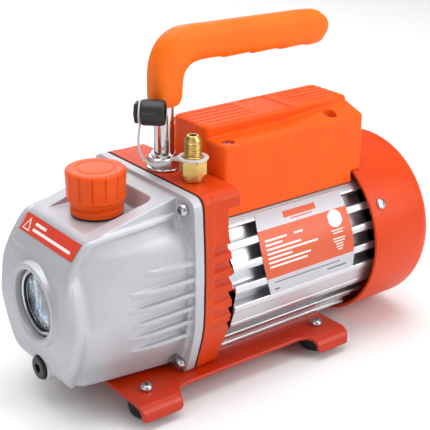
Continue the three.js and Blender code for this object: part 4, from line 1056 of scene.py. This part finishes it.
def make_sticker():
    """A sticker on the slope above the sight glass, with a plain triangle and two bars."""
    patches = [(-30.5, 32.5, 0, 11.6, "sticker_red")]
    for k in range(14):
        half = 4.2 * (k + 0.5) / 16
        v = 9.9 - 8.2 * (k + 0.5) / 16
        inner = max(half - 1, 0)
        for low, high in ((-half, -inner), (inner, half)):
            patches.append((25.5 + low, 25.5 + high, v - 0.28, v + 0.28, "label_white"))
    patches += [(21.3, 29.7, 1.5, 2.3, "label_white"), (6, 18.5, 6.7, 8.6, "label_white"),
                (-25, 18.5, 2.9, 4.8, "label_white")]
    foot, head = Vector((-76.4, 114.5)), Vector((-67.4, 125.6))
    slope = (head - foot).normalized()
    out = Vector((-slope.y, slope.x))

    def surface(u, v, height):
        x, z = foot + slope * v + out * (0.1 + height)
        return (x, u, z)
    printed("tank_sticker", (-30.5, 32.5), (0, 11.6), surface, patches)


# ---- The rest of the CAD nodes keep their shape and get a finish ----
KEPT = {
    "iron": ["pump_cylinder", "pump_end_plate", "stator_core", "motor_rotor"],
    "machined_steel": ["pump_rotor", "exhaust_reed", "reed_stop", "shaft", "bearing_front",
                       "bearing_rear"],
    "vane_composite": ["vane_left", "vane_right"],
    "rubber": ["shaft_seal"],
    "copper": ["stator_winding"],
    "motor_aluminium": ["rear_bracket"],
    "black_plastic": ["fan", "capacitor"],
}


def dress_kept_nodes():
    for finish, names in KEPT.items():
        for name in names:
            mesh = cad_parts[name].data
            mesh.materials.clear()
            mesh.materials.append(FINISHES[finish])


# ---- Studio ----
TARGET = ORIGIN + Vector((0.0502, 0, 0.1025))
DISTANCE = 0.7247
AZIMUTH, ELEVATION, ROLL = 37.62, 22.6, 0.446
LENS, SENSOR_WIDTH = 91.9, 36
FLOOR_HALF = 8
LIGHTS = {"overhead": ((0.05, 0.1, 1.3), (1.3, 1.0), 12),
          "key": ((0.75, -1.15, 0.75), (0.8, 0.9), 11.5),
          "fill": ((-1.3, -0.5, 0.6), (0.6, 1.0), 2.8),
          "rear": ((0.4, 1.3, 0.8), (1.2, 0.7), 6)}


def make_camera():
    azimuth, elevation = math.radians(AZIMUTH), math.radians(ELEVATION)
    back = Vector((-math.sin(azimuth) * math.cos(elevation),
                   -math.cos(azimuth) * math.cos(elevation), math.sin(elevation)))
    data = bpy.data.cameras.new("camera")
    data.lens, data.sensor_width = LENS, SENSOR_WIDTH
    data.clip_start, data.clip_end = 0.01, 50
    camera = linked("camera", data)
    turn = back.to_track_quat("Z", "Y").to_matrix().to_4x4()
    roll = Matrix.Rotation(math.radians(ROLL), 4, "Z")
    camera.matrix_world = Matrix.Translation(TARGET + back * DISTANCE) @ turn @ roll
    scene.camera = camera


def make_light(name, location, size, power):
    data = bpy.data.lights.new(name, "AREA")
    data.shape = "RECTANGLE"
    data.size, data.size_y = size
    data.energy = power
    light = linked(name, data)
    aim = Vector((0, 0, 0.1)) - Vector(location)
    light.matrix_world = (Matrix.Translation(location)
                          @ aim.to_track_quat("-Z", "Y").to_matrix().to_4x4())


def make_studio():
    floor = shape([(u, v, 0) for u, v, _ in
                   rectangle(-FLOOR_HALF, FLOOR_HALF, -FLOOR_HALF, FLOOR_HALF)], [(0, 1, 2, 3)])
    floor.name = "floor"
    floor.data.materials.append(make_finish("floor_paper", "f4f4f4", "f1f1f2", 0.6, 0, 400,
                                            mottle_scale=2))
    for name, values in LIGHTS.items():
        make_light(name, *values)
    world = bpy.data.worlds.new("studio")
    world.use_nodes = True
    nodes, links = world.node_tree.nodes, world.node_tree.links
    where = nodes.new("ShaderNodeTexCoord")
    split = nodes.new("ShaderNodeSeparateXYZ")
    ramp = nodes.new("ShaderNodeValToRGB")
    fill_ramp(ramp, [(0, (0.5, 0.5, 0.5, 1)), (0.5, (0.12, 0.12, 0.12, 1)),
                     (0.6, (0.3, 0.3, 0.3, 1)), (1, (0.95, 0.95, 0.97, 1))])
    links.new(where.outputs["Generated"], split.inputs["Vector"])
    links.new(split.outputs["Z"], ramp.inputs["Fac"])
    links.new(ramp.outputs["Color"], nodes["Background"].inputs["Color"])
    nodes["Background"].inputs["Strength"].default_value = 1
    scene.world = world
    scene.view_settings.view_transform = "Standard"


for step in (make_camera, make_studio, make_tank, make_tank_gasket, make_screws, make_window,
             make_drain, make_fill_cap, make_pump_body, make_base_plate, make_feet,
             make_motor_housing, make_fan_cover, make_terminal_box, make_panel_parts, make_handle,
             make_inlet, make_strap, make_inlet_cap, make_label, make_sticker, dress_kept_nodes):
    step()
